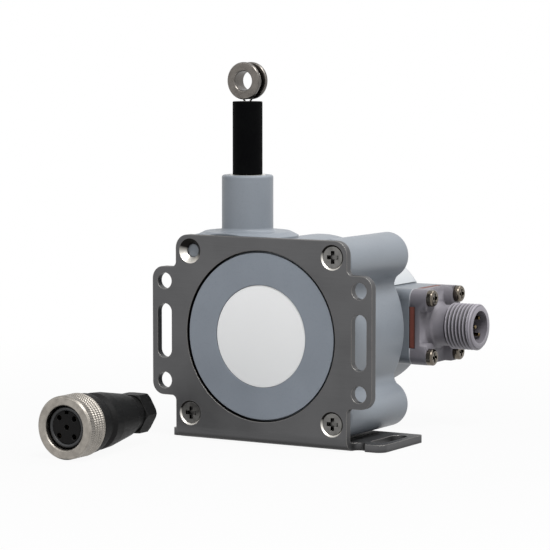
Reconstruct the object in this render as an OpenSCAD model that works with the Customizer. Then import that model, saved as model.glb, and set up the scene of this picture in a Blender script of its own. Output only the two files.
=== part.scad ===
// Draw wire encoder on a folded steel bracket, with its loose field plug.
// The origin lies on the underside of the bracket's foot, straight below the drum axis,
// in the upright plane in which the wire leaves. X runs toward the connector, Y toward
// the rear cap, and Z up along the wire. All sizes are in millimetres.

/* [Mounting bracket] */
// Thickness of the folded sheet
sheet_t = 1.9; // [1.5:0.1:2.4]
// Gap between the drum chamber and the foot below it
foot_gap = 1.6; // [0.9:0.1:8.4]
// Radius of the fold, on its inside
fold_r = 1.2; // [0.6:0.1:1.4]
// How far the plate stands out past the drum chamber on each side
plate_margin = 1.1; // [0.6:0.1:3]
// How far the plate's top edge stands above the drum chamber
plate_rise = 1.0; // [0.5:0.1:2]
// Corner radius of the plate
plate_corner_r = 3.5; // [2:0.1:4]
// Width of each ear
ear_w = 7.0; // [6.4:0.1:9]
// Height of each ear
ear_h = 32.8; // [31:0.1:34]
// Outer corner radius of the ears
ear_corner_r = 3.2; // [1:0.1:3.4]
// Fillet between an ear and the plate
ear_fillet_r = 1.3; // [0.5:0.1:2]
// Diameter of the round holes in the ears
ear_hole_d = 4.2; // [3.2:0.1:4.6]
// Distance between the two round holes of one ear
ear_hole_pitch = 25.4; // [23:0.1:26]
// Distance from the plate's edge to the line of the ear holes
ear_hole_out = 3.4; // [3:0.1:4]
// Length of the slot in each ear
ear_slot_l = 13.9; // [8:0.1:16]
// Reach of the foot behind the plate's front face
foot_depth = 24.6; // [18:0.1:32]
// How far the foot stands out past the plate on the connector's side
foot_long = 8.4; // [7.6:0.1:12]
// How far the foot stands out past the plate on the other side
foot_short = 3.2; // [0.5:0.1:4]
// Radius of the relief notch at the end of the fold
relief_r = 1.7; // [1:0.1:2]
// Length of the slot in the foot
foot_slot_l = 14; // [8:0.1:15]

/* [Drum housing] */
// Outer radius of the drum chamber
body_r = 23.7; // [22.5:0.1:29]
// Depth of the housing behind the plate
body_depth = 30.7; // [28:0.1:38]
// Wall of the drum chamber
body_wall = 2.1; // [1.8:0.1:2.5]
// Thickness of the housing's rear wall
rear_wall = 3.7; // [3.2:0.1:5]
// Radius of the four screw lobes
lobe_r = 5.9; // [5:0.1:6.5]
// How far each lobe's centre lies inside its screw's, along X and along Z
lobe_inset = 1.6; // [1:0.1:2]
// Fillet in the valley between a lobe and the chamber
valley_r = 3.0; // [1.5:0.1:4]
// Rounding of the housing's rear edge
rear_edge_r = 1.0; // [0.4:0.1:1.6]
// Radius of the round pad under the tower
pad_r = 11.0; // [10:0.1:12]
// Height of the pad above the drum chamber
pad_rise = 1.5; // [1.2:0.1:4]
// Radius of the wire tower
tower_r = 6.55; // [6.2:0.05:8]
// Height of the tower above the pad
tower_h = 14.3; // [13:0.1:20]

/* [Front cover and label] */
// Width of the ring of chamber wall outside the cover's boss
boss_step = 2.5; // [2.3:0.1:3]
// How far the cover's face lies behind the plate's
cover_set = 0.3; // [0.1:0.1:0.8]
// Radius of the round label
label_r = 12.8; // [8:0.1:16]
// Thickness of both labels
label_t = 0.2; // [0.1:0.05:0.3]

/* [Wire and drum] */
// Diameter of the measuring wire
wire_d = 0.48; // [0.4:0.02:0.5]
// Winding radius, from the drum axis to the wire's centre
wind_r = 11.4; // [10:0.1:12.4]
// Number of turns on the full drum
wire_turns = 19; // [15:1:19]
// Length of the drum
drum_w = 10.8; // [10.8:0.1:11.4]
// Height of the drum's flanges above the wire's centre
flange_rise = 1.8; // [0.8:0.1:2.2]
// Radius of the drum shaft
shaft_r = 2.0; // [1.5:0.1:2.2]
// Radius of the stop sleeve on the wire
sleeve_r = 3.8; // [3:0.1:4.4]
// Length of the stop sleeve
sleeve_l = 18.5; // [15:0.1:24]
// Flange radius of the wire eyelet
eyelet_r = 4.72; // [4.2:0.02:6]
// Radius of the eyelet's hole
eyelet_hole_r = 2.5; // [2:0.1:2.6]
// Length of the eyelet
eyelet_l = 4.4; // [3.6:0.1:6]

/* [Encoder and rear cap] */
// Outer radius of the rear cap
cap_r = 18.0; // [17.6:0.1:21]
// Depth of the rear cap
cap_depth = 23.7; // [22.5:0.1:28]
// Wall of the rear cap
cap_wall = 1.6; // [1.2:0.1:1.8]
// Radius of the code disc
disc_r = 12.5; // [8:0.1:12.6]
// Number of windows in the code disc
disc_windows = 32; // [12:4:36]
// Thickness of the circuit board
board_t = 1.6; // [1:0.1:2]

/* [Connector] */
// Width and height of the square neck
neck_w = 19.6; // [19:0.1:21]
// Distance from the drum axis to the end of the neck
neck_reach = 22.2; // [21:0.1:28]
// How far the neck stands out behind the rear cap
neck_over = 0.8; // [0:0.1:1.2]
// Thickness of the gasket
gasket_t = 1.7; // [1:0.1:2]
// Distance between neighbouring cover screws
cover_pitch = 15.2; // [14.8:0.1:15.6]
// Length of the threaded nose beyond the cover's bosses
nose_l = 10.7; // [9:0.1:14]
// Thread diameter of the nose
nose_d = 12.0; // [11.8:0.1:12.4]

/* [Field plug] */
// Outer radius of the coupling nut
nut_r = 7.8; // [7.2:0.1:10]
// Length of the coupling nut
nut_l = 6.8; // [6:0.1:9]
// Length of the plug body behind the nut
plug_body_l = 21.5; // [20:0.1:28]
// Distance across the flats of the gland nut
gland_af = 9.6; // [9.2:0.1:12]
// Sideways place of the plug's axis
plug_x = -28; // [-60:1:-20]
// Place of the plug's front face along Y
plug_y = -58; // [-90:1:-56]
// Turn of the plug about the vertical
plug_turn = 0; // [-10:1:10]

/* [Clearances] */
// Gap between parts that turn and parts that stand still
run_gap = 0.3; // [0.25:0.05:0.4]
// Radial gap of a part that is dropped into its seat
seat_gap = 0.1; // [0.05:0.05:0.15]
// Radial gap of a close fit, such as a shaft in its bearing
fit_gap = 0.03; // [0.01:0.01:0.05]

/* [Hidden] */
$fn = 64;
eps = 0.01;
through = 60;

// Height of the drum axis above the foot's underside
axis_h = body_r + foot_gap + sheet_t;

// Depths along Y, measured from the plate's front face
body_y = sheet_t;
pad_set = 0.1;
wire_y = body_y + pad_r + pad_set;
body_end = body_y + body_depth;
wall_y = body_end - rear_wall;
cap_end = body_end + cap_depth;
neck_y = cap_end + neck_over - neck_w / 2;

// Bracket
plate_half = body_r + plate_margin;
plate_top = body_r + plate_rise;
fold_out = fold_r + sheet_t;
fold_z = fold_out - axis_h;
ear_x = plate_half + ear_hole_out;
foot_slot_x = plate_half + foot_long - 3.9;
foot_corner_r = 1.2;
foot_nose_r = 2.4;
boss_r = body_r - boss_step;
screw_r = 1.4;
screw_hole_r = 1.7;
head_r = 2.7;
head_h = 1.3;
sink_r = 3.15;
sink_h = 1.5;
screw_xz = plate_half - 4.2;
screw_set = 0.35;
screw_corners = [[1, 1], [1, -1], [-1, -1]];
screw_l = 11;
pilot_l = 12.5;

// Housing
lobe_xz = screw_xz - lobe_inset;
chamber_r = body_r - body_wall;
cover_seat_r = chamber_r + 0.8;
cover_seat_y = body_y + 2.1;
front_seal_t = 0.5;
lobe_front_r = 0.8;
pad_top = body_r + pad_rise;
skirt_r = pad_r + 2;
skirt_h = 1;
skirt_z = lobe_xz - 1.3;
tower_top = pad_top + tower_h;
tower_x = -wind_r;
bush_r = 4.6;
bush_l = 7;
wiper_r = 3.9;
wiper_l = 3;
passage_r = 1.6;

// Bearings, shaft and drum
bearing_r = 4.5;
bearing_w = 4;
front_bearing_y = body_y + 0.9;
rear_bearing_y = wall_y + 0.4;
clip_t = 0.5;
clip_seat_r = shaft_r - 0.4;
clip_depths = [front_bearing_y + bearing_w + 0.1, rear_bearing_y + bearing_w + 0.1];
shaft_y = front_bearing_y + 0.2;
shaft_end = body_end + 8.2;
drum_y = wire_y - drum_w / 2;
drum_flange_t = 0.6;
barrel_r = wind_r - wire_d / 2 - eps;
wire_pitch = wire_d + 0.02;

// Power spring
cup_y = drum_y + drum_w + 1.2;
cup_r = chamber_r - seat_gap;
cup_wall = 1.2;
cup_lid_t = 0.6;
arbor_r = 4.2;
spring_turns = 7;
spring_t = 0.35;
spring_steps = 20;

// Wire end
wire_start = 3.6;
sleeve_z = tower_top + 0.1;
sleeve_top = sleeve_z + sleeve_l;
ferrule_r = 1.6;
ferrule_z = sleeve_z + 3;
ferrule_l = 9;
strand_in = 0.3;
strand_out = 0.78;
groove_r = eyelet_hole_r + 0.8;
eyelet_flange_t = 1;
loop_r = groove_r + wire_d / 2 + 0.02;
eyelet_z = sleeve_top + 0.5 + eyelet_r;

// Encoder
cap_in_r = cap_r - cap_wall;
pillar_r = 1.9;
pillar_at = cap_r - 3.1;
pillar_angles = [60, 180, 300];
stand_r = 1.4;
stand_at = cap_in_r - 2;
stand_angles = [30, 150, 270];
hub_y = body_end + 2.6;
disc_y = body_end + 5.9;
disc_t = 0.8;
board_y = body_end + 10.4;
board_r = cap_in_r - 0.5;
board_screw_r = 0.65;
sensor_w = 5;
header_x = 5;
header_l = 5;

// Rear cap
cap_screw_r = 0.95;
cap_head_r = 1.8;
cap_head_h = 1.3;
cap_floor = 1.8;
cap_edge_r = 1.2;
label_gap = 0.04;
seal_out_r = cap_r - 0.4;
seal_in_r = cap_r - 1.2;
seal_t = 0.4;

// Connector
neck_half = neck_w / 2;
neck_corner_r = 2.5;
neck_in = neck_half - 1.5;
cover_screw = cover_pitch / 2;
post_r = 2.3;
cover_x = neck_reach + gasket_t;
cover_t = 1.3;
boss_out = 1.8;
nose_x = cover_x + cover_t + boss_out;
nose_tip = nose_x + nose_l;
thread_x = nose_x + 3.2;
nose_neck_r = nose_d / 2 - 0.7;
cavity_r = 4.2;
carrier_r = cavity_r - seat_gap;
carrier_y0 = neck_reach - 1.5;
carrier_face = nose_x + 2.2;
pin_r = 0.5;
pin_circle = 3.1;
contact_places = concat([[0, 0]], [for (a = [45 : 90 : 315]) pin_circle * [cos(a), sin(a)]]);
cover_screw_r = 1.1;
window_half = 5.3;

// Field plug
crest_r = 5.45;
plug_wall = 0.9;
insert_r = carrier_r - 0.1;
insert_face = 1.2;
socket_r = 0.68;
cable_r = 2.6;
gland_l = 4.6;
plug_end = nut_l + plug_body_l;

// ---------------------------------------------------------------- helpers

// Moves a piece from the plate's own place, with its origin at the middle of the
// plate's face on the drum axis, to its place above the foot
module on_foot() {
    translate([0, -wire_y, axis_h])
        children();
}

// Moves a piece of the plug, which is drawn along +Y with its front face at y = 0
module plug_place() {
    translate([plug_x, plug_y, nut_r])
        rotate([0, 0, plug_turn])
            children();
}

// Extrudes an X-Z outline from depth y0 to depth y1
module slab(y0, y1) {
    translate([0, y1, 0])
        rotate([90, 0, 0])
            linear_extrude(y1 - y0)
                children();
}

// Extrudes a Y-Z outline from x0 to x1
module bar(x0, x1) {
    translate([x0, 0, 0])
        rotate([90, 0, 90])
            linear_extrude(x1 - x0)
                children();
}

// Turns an outline of radius and depth about the drum axis
module turned_y() {
    rotate([-90, 0, 0])
        rotate_extrude()
            children();
}

// Turns an outline of radius and reach about the connector's axis
module turned_x() {
    rotate([0, 90, 0])
        rotate_extrude()
            children();
}

// Round bar along Y
module disc(r, y0, y1) {
    translate([0, y0, 0])
        rotate([-90, 0, 0])
            cylinder(r = r, h = y1 - y0);
}

// Round bar along X
module disc_x(r, x0, x1) {
    translate([x0, 0, 0])
        rotate([0, 90, 0])
            cylinder(r = r, h = x1 - x0);
}

// Ring about the drum axis
module ring(r_out, r_in, y0, y1) {
    difference() {
        disc(r_out, y0, y1);
        disc(r_in, y0 - eps, y1 + eps);
    }
}

// Straight rod from one point to another
module rod(p1, p2, r) {
    d = p2 - p1;
    translate(p1)
        rotate([0, acos(d[2] / norm(d)), atan2(d[1], d[0])])
            cylinder(r = r, h = norm(d));
}

// Rectangle with round corners, centred on the origin
module rounded_rect(w, h, r) {
    square([w - 2 * r, h], center = true);
    square([w, h - 2 * r], center = true);
    for (sx = [-1, 1], sy = [-1, 1])
        translate([sx * (w / 2 - r), sy * (h / 2 - r)])
            circle(r);
}

// Slot with round ends, its long side along the second axis
module slot(w, l) {
    square([w, l - w], center = true);
    for (s = [-1, 1])
        translate([0, s * (l - w) / 2])
            circle(w / 2);
}

// Outline of a straight bar of radius r from y0 to y1, with its far edge rounded by
// edge_r and its near edge by near_r
module rounded_bar_outline(r, y0, y1, edge_r, near_r = 0) {
    translate([0, y0 + near_r])
        square([r, y1 - y0 - edge_r - near_r]);
    translate([0, y0])
        square([r - max(edge_r, near_r), y1 - y0]);
    translate([r - edge_r, y1 - edge_r])
        circle(edge_r);
    if (near_r > 0)
        translate([r - near_r, y0 + near_r])
            circle(near_r);
}

// Copies a piece to the four corners of a square in the X-Z plane
module at_corners(xz) {
    for (sx = [-1, 1], sz = [-1, 1])
        translate([sx * xz, 0, sz * xz])
            children();
}

// Copies a piece to the given angles on a circle about the drum axis
module around(radius, angles) {
    for (a = angles)
        translate([radius * cos(a), 0, radius * sin(a)])
            children();
}

// Cross recess in a screw head whose face is at y = 0, cut toward +Y
module cross_recess(size, depth) {
    for (turn = [0, 90])
        rotate([0, turn, 0])
            translate([-size / 2, -eps, -0.16 * size])
                cube([size, depth, 0.32 * size]);
}

// ---------------------------------------------------------------- bracket

module ear_outline() {
    ear_half = plate_half + ear_w;
    square([2 * (ear_half - ear_corner_r), ear_h], center = true);
    square([2 * ear_half, ear_h - 2 * ear_corner_r], center = true);
    for (sx = [-1, 1], sz = [-1, 1])
        translate([sx * (ear_half - ear_corner_r), sz * (ear_h / 2 - ear_corner_r)])
            circle(ear_corner_r);
    for (sx = [-1, 1], sz = [-1, 1])
        translate([sx * plate_half, sz * ear_h / 2])
            difference() {
                square(2 * ear_fillet_r, center = true);
                translate([sx * ear_fillet_r, sz * ear_fillet_r])
                    circle(ear_fillet_r);
            }
}

module plate_outline() {
    difference() {
        union() {
            translate([-plate_half, fold_z])
                square([2 * plate_half, plate_top - plate_corner_r - fold_z]);
            translate([plate_corner_r - plate_half, 0])
                square([2 * (plate_half - plate_corner_r), plate_top]);
            for (sx = [-1, 1])
                translate([sx * (plate_half - plate_corner_r), plate_top - plate_corner_r])
                    circle(plate_corner_r);
            ear_outline();
        }
        circle(boss_r + run_gap);
        for (sx = [-1, 1], sz = [-1, 1]) {
            translate([sx * screw_xz, sz * screw_xz])
                circle(screw_hole_r);
            translate([sx * ear_x, sz * ear_hole_pitch / 2])
                circle(ear_hole_d / 2);
        }
        for (sx = [-1, 1])
            translate([sx * ear_x, 0])
                slot(ear_hole_d, ear_slot_l);
    }
}

module fold_outline() {
    intersection() {
        difference() {
            translate([fold_out, fold_z])
                circle(fold_out);
            translate([fold_out, fold_z])
                circle(fold_r);
        }
        translate([0, -axis_h])
            square(fold_out);
    }
}

module foot_outline() {
    left = -plate_half - foot_short;
    right = plate_half + foot_long;
    difference() {
        translate([(left + right) / 2, (fold_out + foot_depth) / 2])
            rounded_rect(right - left, foot_depth - fold_out, foot_corner_r);
        translate([right - foot_nose_r, fold_out + foot_nose_r])
            difference() {
                translate([0, -foot_nose_r - eps])
                    square(foot_nose_r + eps);
                circle(foot_nose_r);
            }
        translate([plate_half + relief_r, fold_out])
            circle(relief_r);
        translate([foot_slot_x, (fold_out + foot_depth) / 2])
            slot(ear_hole_d, foot_slot_l);
    }
}

module mounting_bracket() {
    color("dimgray")
        on_foot() {
            difference() {
                slab(0, sheet_t)
                    plate_outline();
                at_corners(screw_xz)
                    translate([0, -eps, 0])
                        rotate([-90, 0, 0])
                            cylinder(r1 = sink_r, r2 = screw_hole_r, h = sink_h);
            }
            bar(-plate_half, plate_half)
                fold_outline();
            translate([0, 0, -axis_h])
                linear_extrude(sheet_t)
                    foot_outline();
        }
}

// One countersunk screw with its face at y = 0
module sunk_screw() {
    difference() {
        union() {
            rotate([-90, 0, 0])
                cylinder(r1 = head_r, r2 = screw_r, h = head_h);
            disc(screw_r, 0, screw_l);
        }
        cross_recess(3.2, 1);
    }
}

// The screw toward the wire side at the top is left out
module bracket_screws() {
    color("silver")
        on_foot()
            for (corner = screw_corners)
                translate([corner[0] * screw_xz, screw_set, corner[1] * screw_xz])
                    sunk_screw();
}

// ---------------------------------------------------------------- housing

// Web that fills the valley between one lobe and the chamber with a hollow fillet
module valley(sx, sz, side) {
    lobe_at = lobe_xz * sqrt(2);
    fillet_at = body_r + valley_r;
    reach = lobe_r + valley_r;
    turn = acos((lobe_at * lobe_at + fillet_at * fillet_at - reach * reach)
                / (2 * lobe_at * fillet_at));
    angle = atan2(sz, sx) + side * turn;
    centre = [fillet_at * cos(angle), fillet_at * sin(angle)];
    difference() {
        polygon([[0, 0], [sx * lobe_xz, sz * lobe_xz], centre]);
        translate(centre)
            circle(valley_r);
    }
}

module tower_outline() {
    edge_r = 0.6;
    foot_r = 1.0;
    rounded_bar_outline(tower_r, pad_top - 1, tower_top, edge_r);
    translate([tower_r, pad_top])
        difference() {
            square(foot_r);
            translate([foot_r, foot_r])
                circle(foot_r);
        }
}

module housing_shell() {
    turned_y()
        rounded_bar_outline(body_r, body_y, body_end, rear_edge_r);
    at_corners(lobe_xz)
        turned_y()
            rounded_bar_outline(lobe_r, body_y, body_end, rear_edge_r, lobe_front_r);
    for (sx = [-1, 1], sz = [-1, 1], side = [-1, 1])
        slab(body_y, body_end - rear_edge_r)
            valley(sx, sz, side);
    intersection() {
        translate([tower_x, wire_y, skirt_z]) {
            cylinder(r = skirt_r, h = pad_top - skirt_h - skirt_z);
            translate([0, 0, pad_top - skirt_h - skirt_z])
                cylinder(r1 = skirt_r, r2 = pad_r, h = skirt_h);
        }
        translate([-through, body_y, 0])
            cube([2 * through, body_depth - rear_edge_r, through]);
    }
    translate([tower_x, wire_y, 0])
        rotate_extrude()
            tower_outline();
    disc(bearing_r + 2, body_end - rear_edge_r, rear_bearing_y + bearing_w);
    around(stand_at, stand_angles)
        disc(stand_r, body_end - rear_edge_r, board_y);
}

module main_housing() {
    color("slategray")
        on_foot()
            difference() {
                housing_shell();
                disc(chamber_r, body_y + eps, wall_y);
                disc(cover_seat_r, body_y - eps, cover_seat_y);
                disc(bearing_r + fit_gap, rear_bearing_y, through);
                disc(shaft_r + run_gap, wall_y - eps, through);
                for (corner = screw_corners)
                    translate([corner[0] * screw_xz, 0, corner[1] * screw_xz])
                        disc(screw_r + fit_gap, body_y - eps, body_y + pilot_l);
                translate([tower_x, wire_y, tower_top - bush_l])
                    cylinder(r = bush_r + fit_gap, h = through);
                translate([tower_x, wire_y, tower_top - bush_l - wiper_l])
                    cylinder(r = wiper_r + fit_gap, h = wiper_l + eps);
                translate([tower_x, wire_y, 0])
                    cylinder(r = passage_r, h = tower_top - bush_l);
                around(pillar_at, pillar_angles)
                    disc(cap_screw_r + fit_gap, body_end - 3, body_end + eps);
                around(stand_at, stand_angles)
                    disc(board_screw_r + fit_gap, board_y - 5, board_y + eps);
                ring(seal_out_r + seat_gap / 2, seal_in_r - seat_gap / 2,
                     body_end - seal_t, body_end + eps);
            }
}

// ---------------------------------------------------------------- front cover

module front_cover() {
    lip_y = cover_seat_y - front_seal_t;
    bearing_boss_r = bearing_r + 2.5;
    color("lightslategray")
        on_foot()
            difference() {
                union() {
                    disc(boss_r - 0.3, cover_set, 1.2);
                    disc(boss_r, 1.2 - eps, lip_y);
                    disc(cover_seat_r - seat_gap, body_y, lip_y);
                    ring(chamber_r - seat_gap, chamber_r - 2, lip_y - eps, cover_seat_y + 1);
                    disc(bearing_boss_r, lip_y - eps, front_bearing_y + bearing_w);
                    for (a = [0 : 60 : 300])
                        rotate([0, a, 0])
                            translate([bearing_r + 1, lip_y - eps, -0.6])
                                cube([chamber_r - bearing_r - 2.5, 1, 1.2]);
                }
                disc(label_r + seat_gap, cover_set - eps, cover_set + label_t + 0.15);
                disc(bearing_r + fit_gap, front_bearing_y, through);
            }
}

module front_cover_seal() {
    color("black")
        on_foot()
            ring(cover_seat_r - seat_gap, chamber_r, cover_seat_y - front_seal_t, cover_seat_y);
}

module front_label() {
    floor_y = cover_set + label_t + 0.15;
    color("whitesmoke")
        on_foot()
            disc(label_r, floor_y - label_t, floor_y);
}

// ---------------------------------------------------------------- bearings and drum

// Ball bearing with its front face at depth y0
module bearing(y0) {
    race_r = (bearing_r + shaft_r) / 2;
    groove_half = 0.35;
    ring(bearing_r, race_r + groove_half, y0, y0 + bearing_w);
    ring(race_r - groove_half, shaft_r + fit_gap, y0, y0 + bearing_w);
    for (a = [0 : 45 : 315])
        rotate([0, a, 0])
            translate([race_r, y0 + bearing_w / 2, 0])
                sphere(groove_half - 0.02);
}

module front_bearing() {
    color("silver")
        on_foot()
            bearing(front_bearing_y);
}

module rear_bearing() {
    color("silver")
        on_foot()
            bearing(rear_bearing_y);
}

module drum_shaft() {
    color("lightgray")
        on_foot()
            difference() {
                disc(shaft_r, shaft_y, shaft_end);
                for (y = clip_depths)
                    ring(shaft_r + eps, clip_seat_r, y, y + clip_t);
            }
}

module shaft_clips() {
    color("gray")
        on_foot()
            for (y = clip_depths)
                difference() {
                    ring(shaft_r + 1.2, clip_seat_r + fit_gap, y + fit_gap, y + clip_t - fit_gap);
                    translate([0, y - eps, -clip_seat_r * 0.8])
                        cube([through, clip_t + 2 * eps, clip_seat_r * 1.6]);
                }
}

module drum_outline() {
    flange_r = wind_r + flange_rise;
    hub_r = shaft_r + 2;
    rim_t = 1.8;
    web_t = 2;
    translate([shaft_r + fit_gap, drum_y])
        square([hub_r - shaft_r - fit_gap, drum_w]);
    translate([hub_r - eps, wire_y - web_t / 2])
        square([barrel_r - hub_r, web_t]);
    translate([barrel_r - rim_t, drum_y])
        square([rim_t, drum_w]);
    for (y = [drum_y, drum_y + drum_w - drum_flange_t])
        translate([barrel_r - rim_t, y])
            square([flange_r - barrel_r + rim_t, drum_flange_t]);
}

module wire_drum() {
    color("gainsboro")
        on_foot()
            difference() {
                turned_y()
                    drum_outline();
                for (a = [0 : 60 : 300])
                    rotate([0, a, 0])
                        translate([(barrel_r + shaft_r) / 2, 0, 0])
                            disc(1.5, drum_y, drum_y + drum_w);
            }
}

module wound_wire() {
    color("lightsteelblue")
        on_foot()
            for (i = [0 : wire_turns - 1])
                turned_y()
                    translate([wind_r, wire_y + (i - (wire_turns - 1) / 2) * wire_pitch])
                        circle(wire_d / 2);
}

// ---------------------------------------------------------------- power spring

module spring_arbor() {
    color("lightgray")
        on_foot()
            difference() {
                ring(arbor_r, shaft_r + fit_gap, cup_y + run_gap, wall_y - run_gap);
                translate([arbor_r - 1.2, cup_y + cup_lid_t, -0.3])
                    cube([2, wall_y - cup_y - 2, 0.6]);
            }
}

module power_spring() {
    inner_r = arbor_r + 0.3 + spring_t;
    outer_r = cup_r - cup_wall - seat_gap - spring_t;
    steps = spring_turns * spring_steps;
    line = [for (i = [0 : steps]) [inner_r + (outer_r - inner_r) * i / steps, i * 360 / spring_steps]];
    inner_edge = [for (p = line) p[0] * [cos(p[1]), sin(p[1])]];
    outer_edge = [for (i = [steps : -1 : 0]) (line[i][0] + spring_t) * [cos(line[i][1]), sin(line[i][1])]];
    color("steelblue")
        on_foot()
            slab(cup_y + cup_lid_t + 0.4, wall_y - cup_lid_t - 0.4)
                polygon(concat(inner_edge, outer_edge));
}

module spring_cup() {
    color("lightgray")
        on_foot()
            difference() {
                disc(cup_r, cup_y, wall_y);
                disc(cup_r - cup_wall, cup_y - eps, wall_y - cup_lid_t);
                disc(arbor_r + run_gap, cup_y - eps, through);
            }
}

module spring_cup_lid() {
    color("gray")
        on_foot()
            ring(cup_r - cup_wall - seat_gap, arbor_r + run_gap, cup_y, cup_y + cup_lid_t);
}

// ---------------------------------------------------------------- wire and eyelet

module free_wire() {
    color("lightsteelblue")
        on_foot()
            translate([tower_x, wire_y, wire_start])
                cylinder(r = wire_d / 2, h = ferrule_z - wire_start, $fn = 24);
}

module guide_bush() {
    mouth_r = 1.2;
    bore_r = 0.6;
    color("ivory")
        on_foot()
            translate([tower_x, wire_y, tower_top - bush_l])
                rotate_extrude()
                    difference() {
                        translate([bore_r, 0])
                            square([bush_r - bore_r, bush_l]);
                        for (z = [0, bush_l])
                            translate([bore_r, z])
                                intersection() {
                                    square(2 * mouth_r, center = true);
                                    difference() {
                                        square(2 * mouth_r, center = true);
                                        for (s = [-1, 1])
                                            translate([mouth_r, s * mouth_r])
                                                circle(mouth_r);
                                    }
                                }
                    }
}

module wire_wiper() {
    color("tan")
        on_foot()
            translate([tower_x, wire_y, tower_top - bush_l - wiper_l])
                difference() {
                    cylinder(r = wiper_r, h = wiper_l);
                    translate([0, 0, -eps])
                        cylinder(r = wire_d / 2 + fit_gap, h = wiper_l + 1);
                }
}

module stop_sleeve() {
    edge_r = 0.25;
    color("#111111")
        on_foot()
            translate([tower_x, wire_y, 0])
                difference() {
                    rotate_extrude()
                        rounded_bar_outline(sleeve_r, sleeve_z, sleeve_top, edge_r);
                    translate([0, 0, sleeve_z - eps])
                        cylinder(r = wire_d, h = through);
                    translate([0, 0, ferrule_z])
                        cylinder(r = ferrule_r + fit_gap, h = through);
                }
}

module crimp_ferrule() {
    color("silver")
        on_foot()
            translate([tower_x, wire_y, ferrule_z])
                difference() {
                    cylinder(r = ferrule_r, h = ferrule_l);
                    for (sx = [-1, 1])
                        translate([sx * strand_in, 0, 1])
                            cylinder(r = wire_d / 2 + fit_gap, h = ferrule_l);
                    translate([0, 0, -eps])
                        cylinder(r = wire_d / 2 + fit_gap, h = 1);
                }
}

// One side of the loop, from the ferrule to the eyelet's groove
module loop_strand(sx) {
    bend = [strand_out, 0, sleeve_top];
    tangent = 90 - asin(loop_r / norm([strand_out, eyelet_z - sleeve_top]))
              + atan2(strand_out, eyelet_z - sleeve_top);
    touch = [loop_r * sin(tangent), 0, eyelet_z - loop_r * cos(tangent)];
    mirror([sx > 0 ? 0 : 1, 0, 0]) {
        rod([strand_in, 0, ferrule_z + 1.2], [strand_in, 0, ferrule_z + ferrule_l], wire_d / 2);
        rod([strand_in, 0, ferrule_z + ferrule_l], bend, wire_d / 2);
        rod(bend, touch, wire_d / 2);
        translate(bend)
            sphere(wire_d / 2 + 0.03);
        translate([strand_in, 0, ferrule_z + ferrule_l])
            sphere(wire_d / 2 + 0.03);
        translate(touch)
            sphere(wire_d / 2 + 0.03);
    }
}

module wire_loop() {
    tangent = 90 - asin(loop_r / norm([strand_out, eyelet_z - sleeve_top]))
              + atan2(strand_out, eyelet_z - sleeve_top);
    color("lightsteelblue")
        on_foot()
            translate([tower_x, wire_y, 0]) {
                for (sx = [-1, 1])
                    loop_strand(sx);
                translate([0, 0, eyelet_z])
                    rotate([90, 0, 0])
                        rotate([0, 0, tangent - 90])
                            rotate_extrude(angle = 360 - 2 * tangent)
                                translate([loop_r, 0])
                                    circle(wire_d / 2);
            }
}

module wire_eyelet() {
    edge = 0.2;
    half = eyelet_l / 2;
    neck = half - eyelet_flange_t;
    color("silver")
        on_foot()
            translate([tower_x, wire_y, eyelet_z])
                turned_y()
                    polygon([
                        [eyelet_hole_r + edge, -half], [eyelet_r - edge, -half],
                        [eyelet_r, edge - half], [eyelet_r, -neck - edge],
                        [eyelet_r - edge, -neck], [groove_r, -neck],
                        [groove_r, neck], [eyelet_r - edge, neck],
                        [eyelet_r, neck + edge], [eyelet_r, half - edge],
                        [eyelet_r - edge, half], [eyelet_hole_r + edge, half],
                        [eyelet_hole_r, half - edge], [eyelet_hole_r, edge - half]
                    ]);
}

// ---------------------------------------------------------------- encoder

module code_disc_hub() {
    color("silver")
        on_foot()
            difference() {
                union() {
                    disc(3.4, hub_y, disc_y + disc_t + 1);
                    disc(5.2, disc_y - 0.8, disc_y);
                }
                disc(shaft_r + fit_gap, hub_y - eps, through);
            }
}

module code_disc() {
    window_w = PI * 2 * (disc_r - 1.6) / disc_windows / 2;
    color("dimgray")
        on_foot()
            difference() {
                ring(disc_r, 3.4 + fit_gap, disc_y, disc_y + disc_t);
                for (i = [0 : disc_windows - 1])
                    rotate([0, i * 360 / disc_windows, 0])
                        translate([disc_r - 2.4, disc_y - eps, -window_w / 2])
                            cube([1.6, disc_t + 2 * eps, window_w]);
            }
}

// Fork that straddles the rim of the code disc and stands on the board
module optical_sensor() {
    fork_in = disc_r - 3;
    fork_out = board_r - 0.4;
    throat_y = disc_y - 0.8;
    color("#1a1a1a")
        on_foot()
            difference() {
                translate([-sensor_w / 2, disc_y - 2.2, fork_in])
                    cube([sensor_w, board_y - disc_y + 2.2, fork_out - fork_in]);
                translate([-sensor_w, throat_y, fork_in - 1])
                    cube([2 * sensor_w, disc_t + 1.6, disc_r + 0.8 - fork_in + 1]);
            }
}

module encoder_board() {
    color("darkgreen")
        on_foot()
            difference() {
                disc(board_r, board_y, board_y + board_t);
                around(pillar_at, pillar_angles)
                    disc(pillar_r + 0.6, board_y - eps, board_y + board_t + eps);
                around(stand_at, stand_angles)
                    disc(board_screw_r + seat_gap, board_y - eps, board_y + board_t + eps);
            }
}

module board_screws() {
    color("silver")
        on_foot()
            around(stand_at, stand_angles) {
                disc(board_screw_r, board_y - 4, board_y + board_t + 0.5);
                disc(1.3, board_y + board_t, board_y + board_t + 1);
            }
}

module board_header() {
    color("ivory")
        on_foot()
            translate([header_x, board_y + board_t, -4.5])
                cube([header_l, 2.6, 9]);
}

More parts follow.
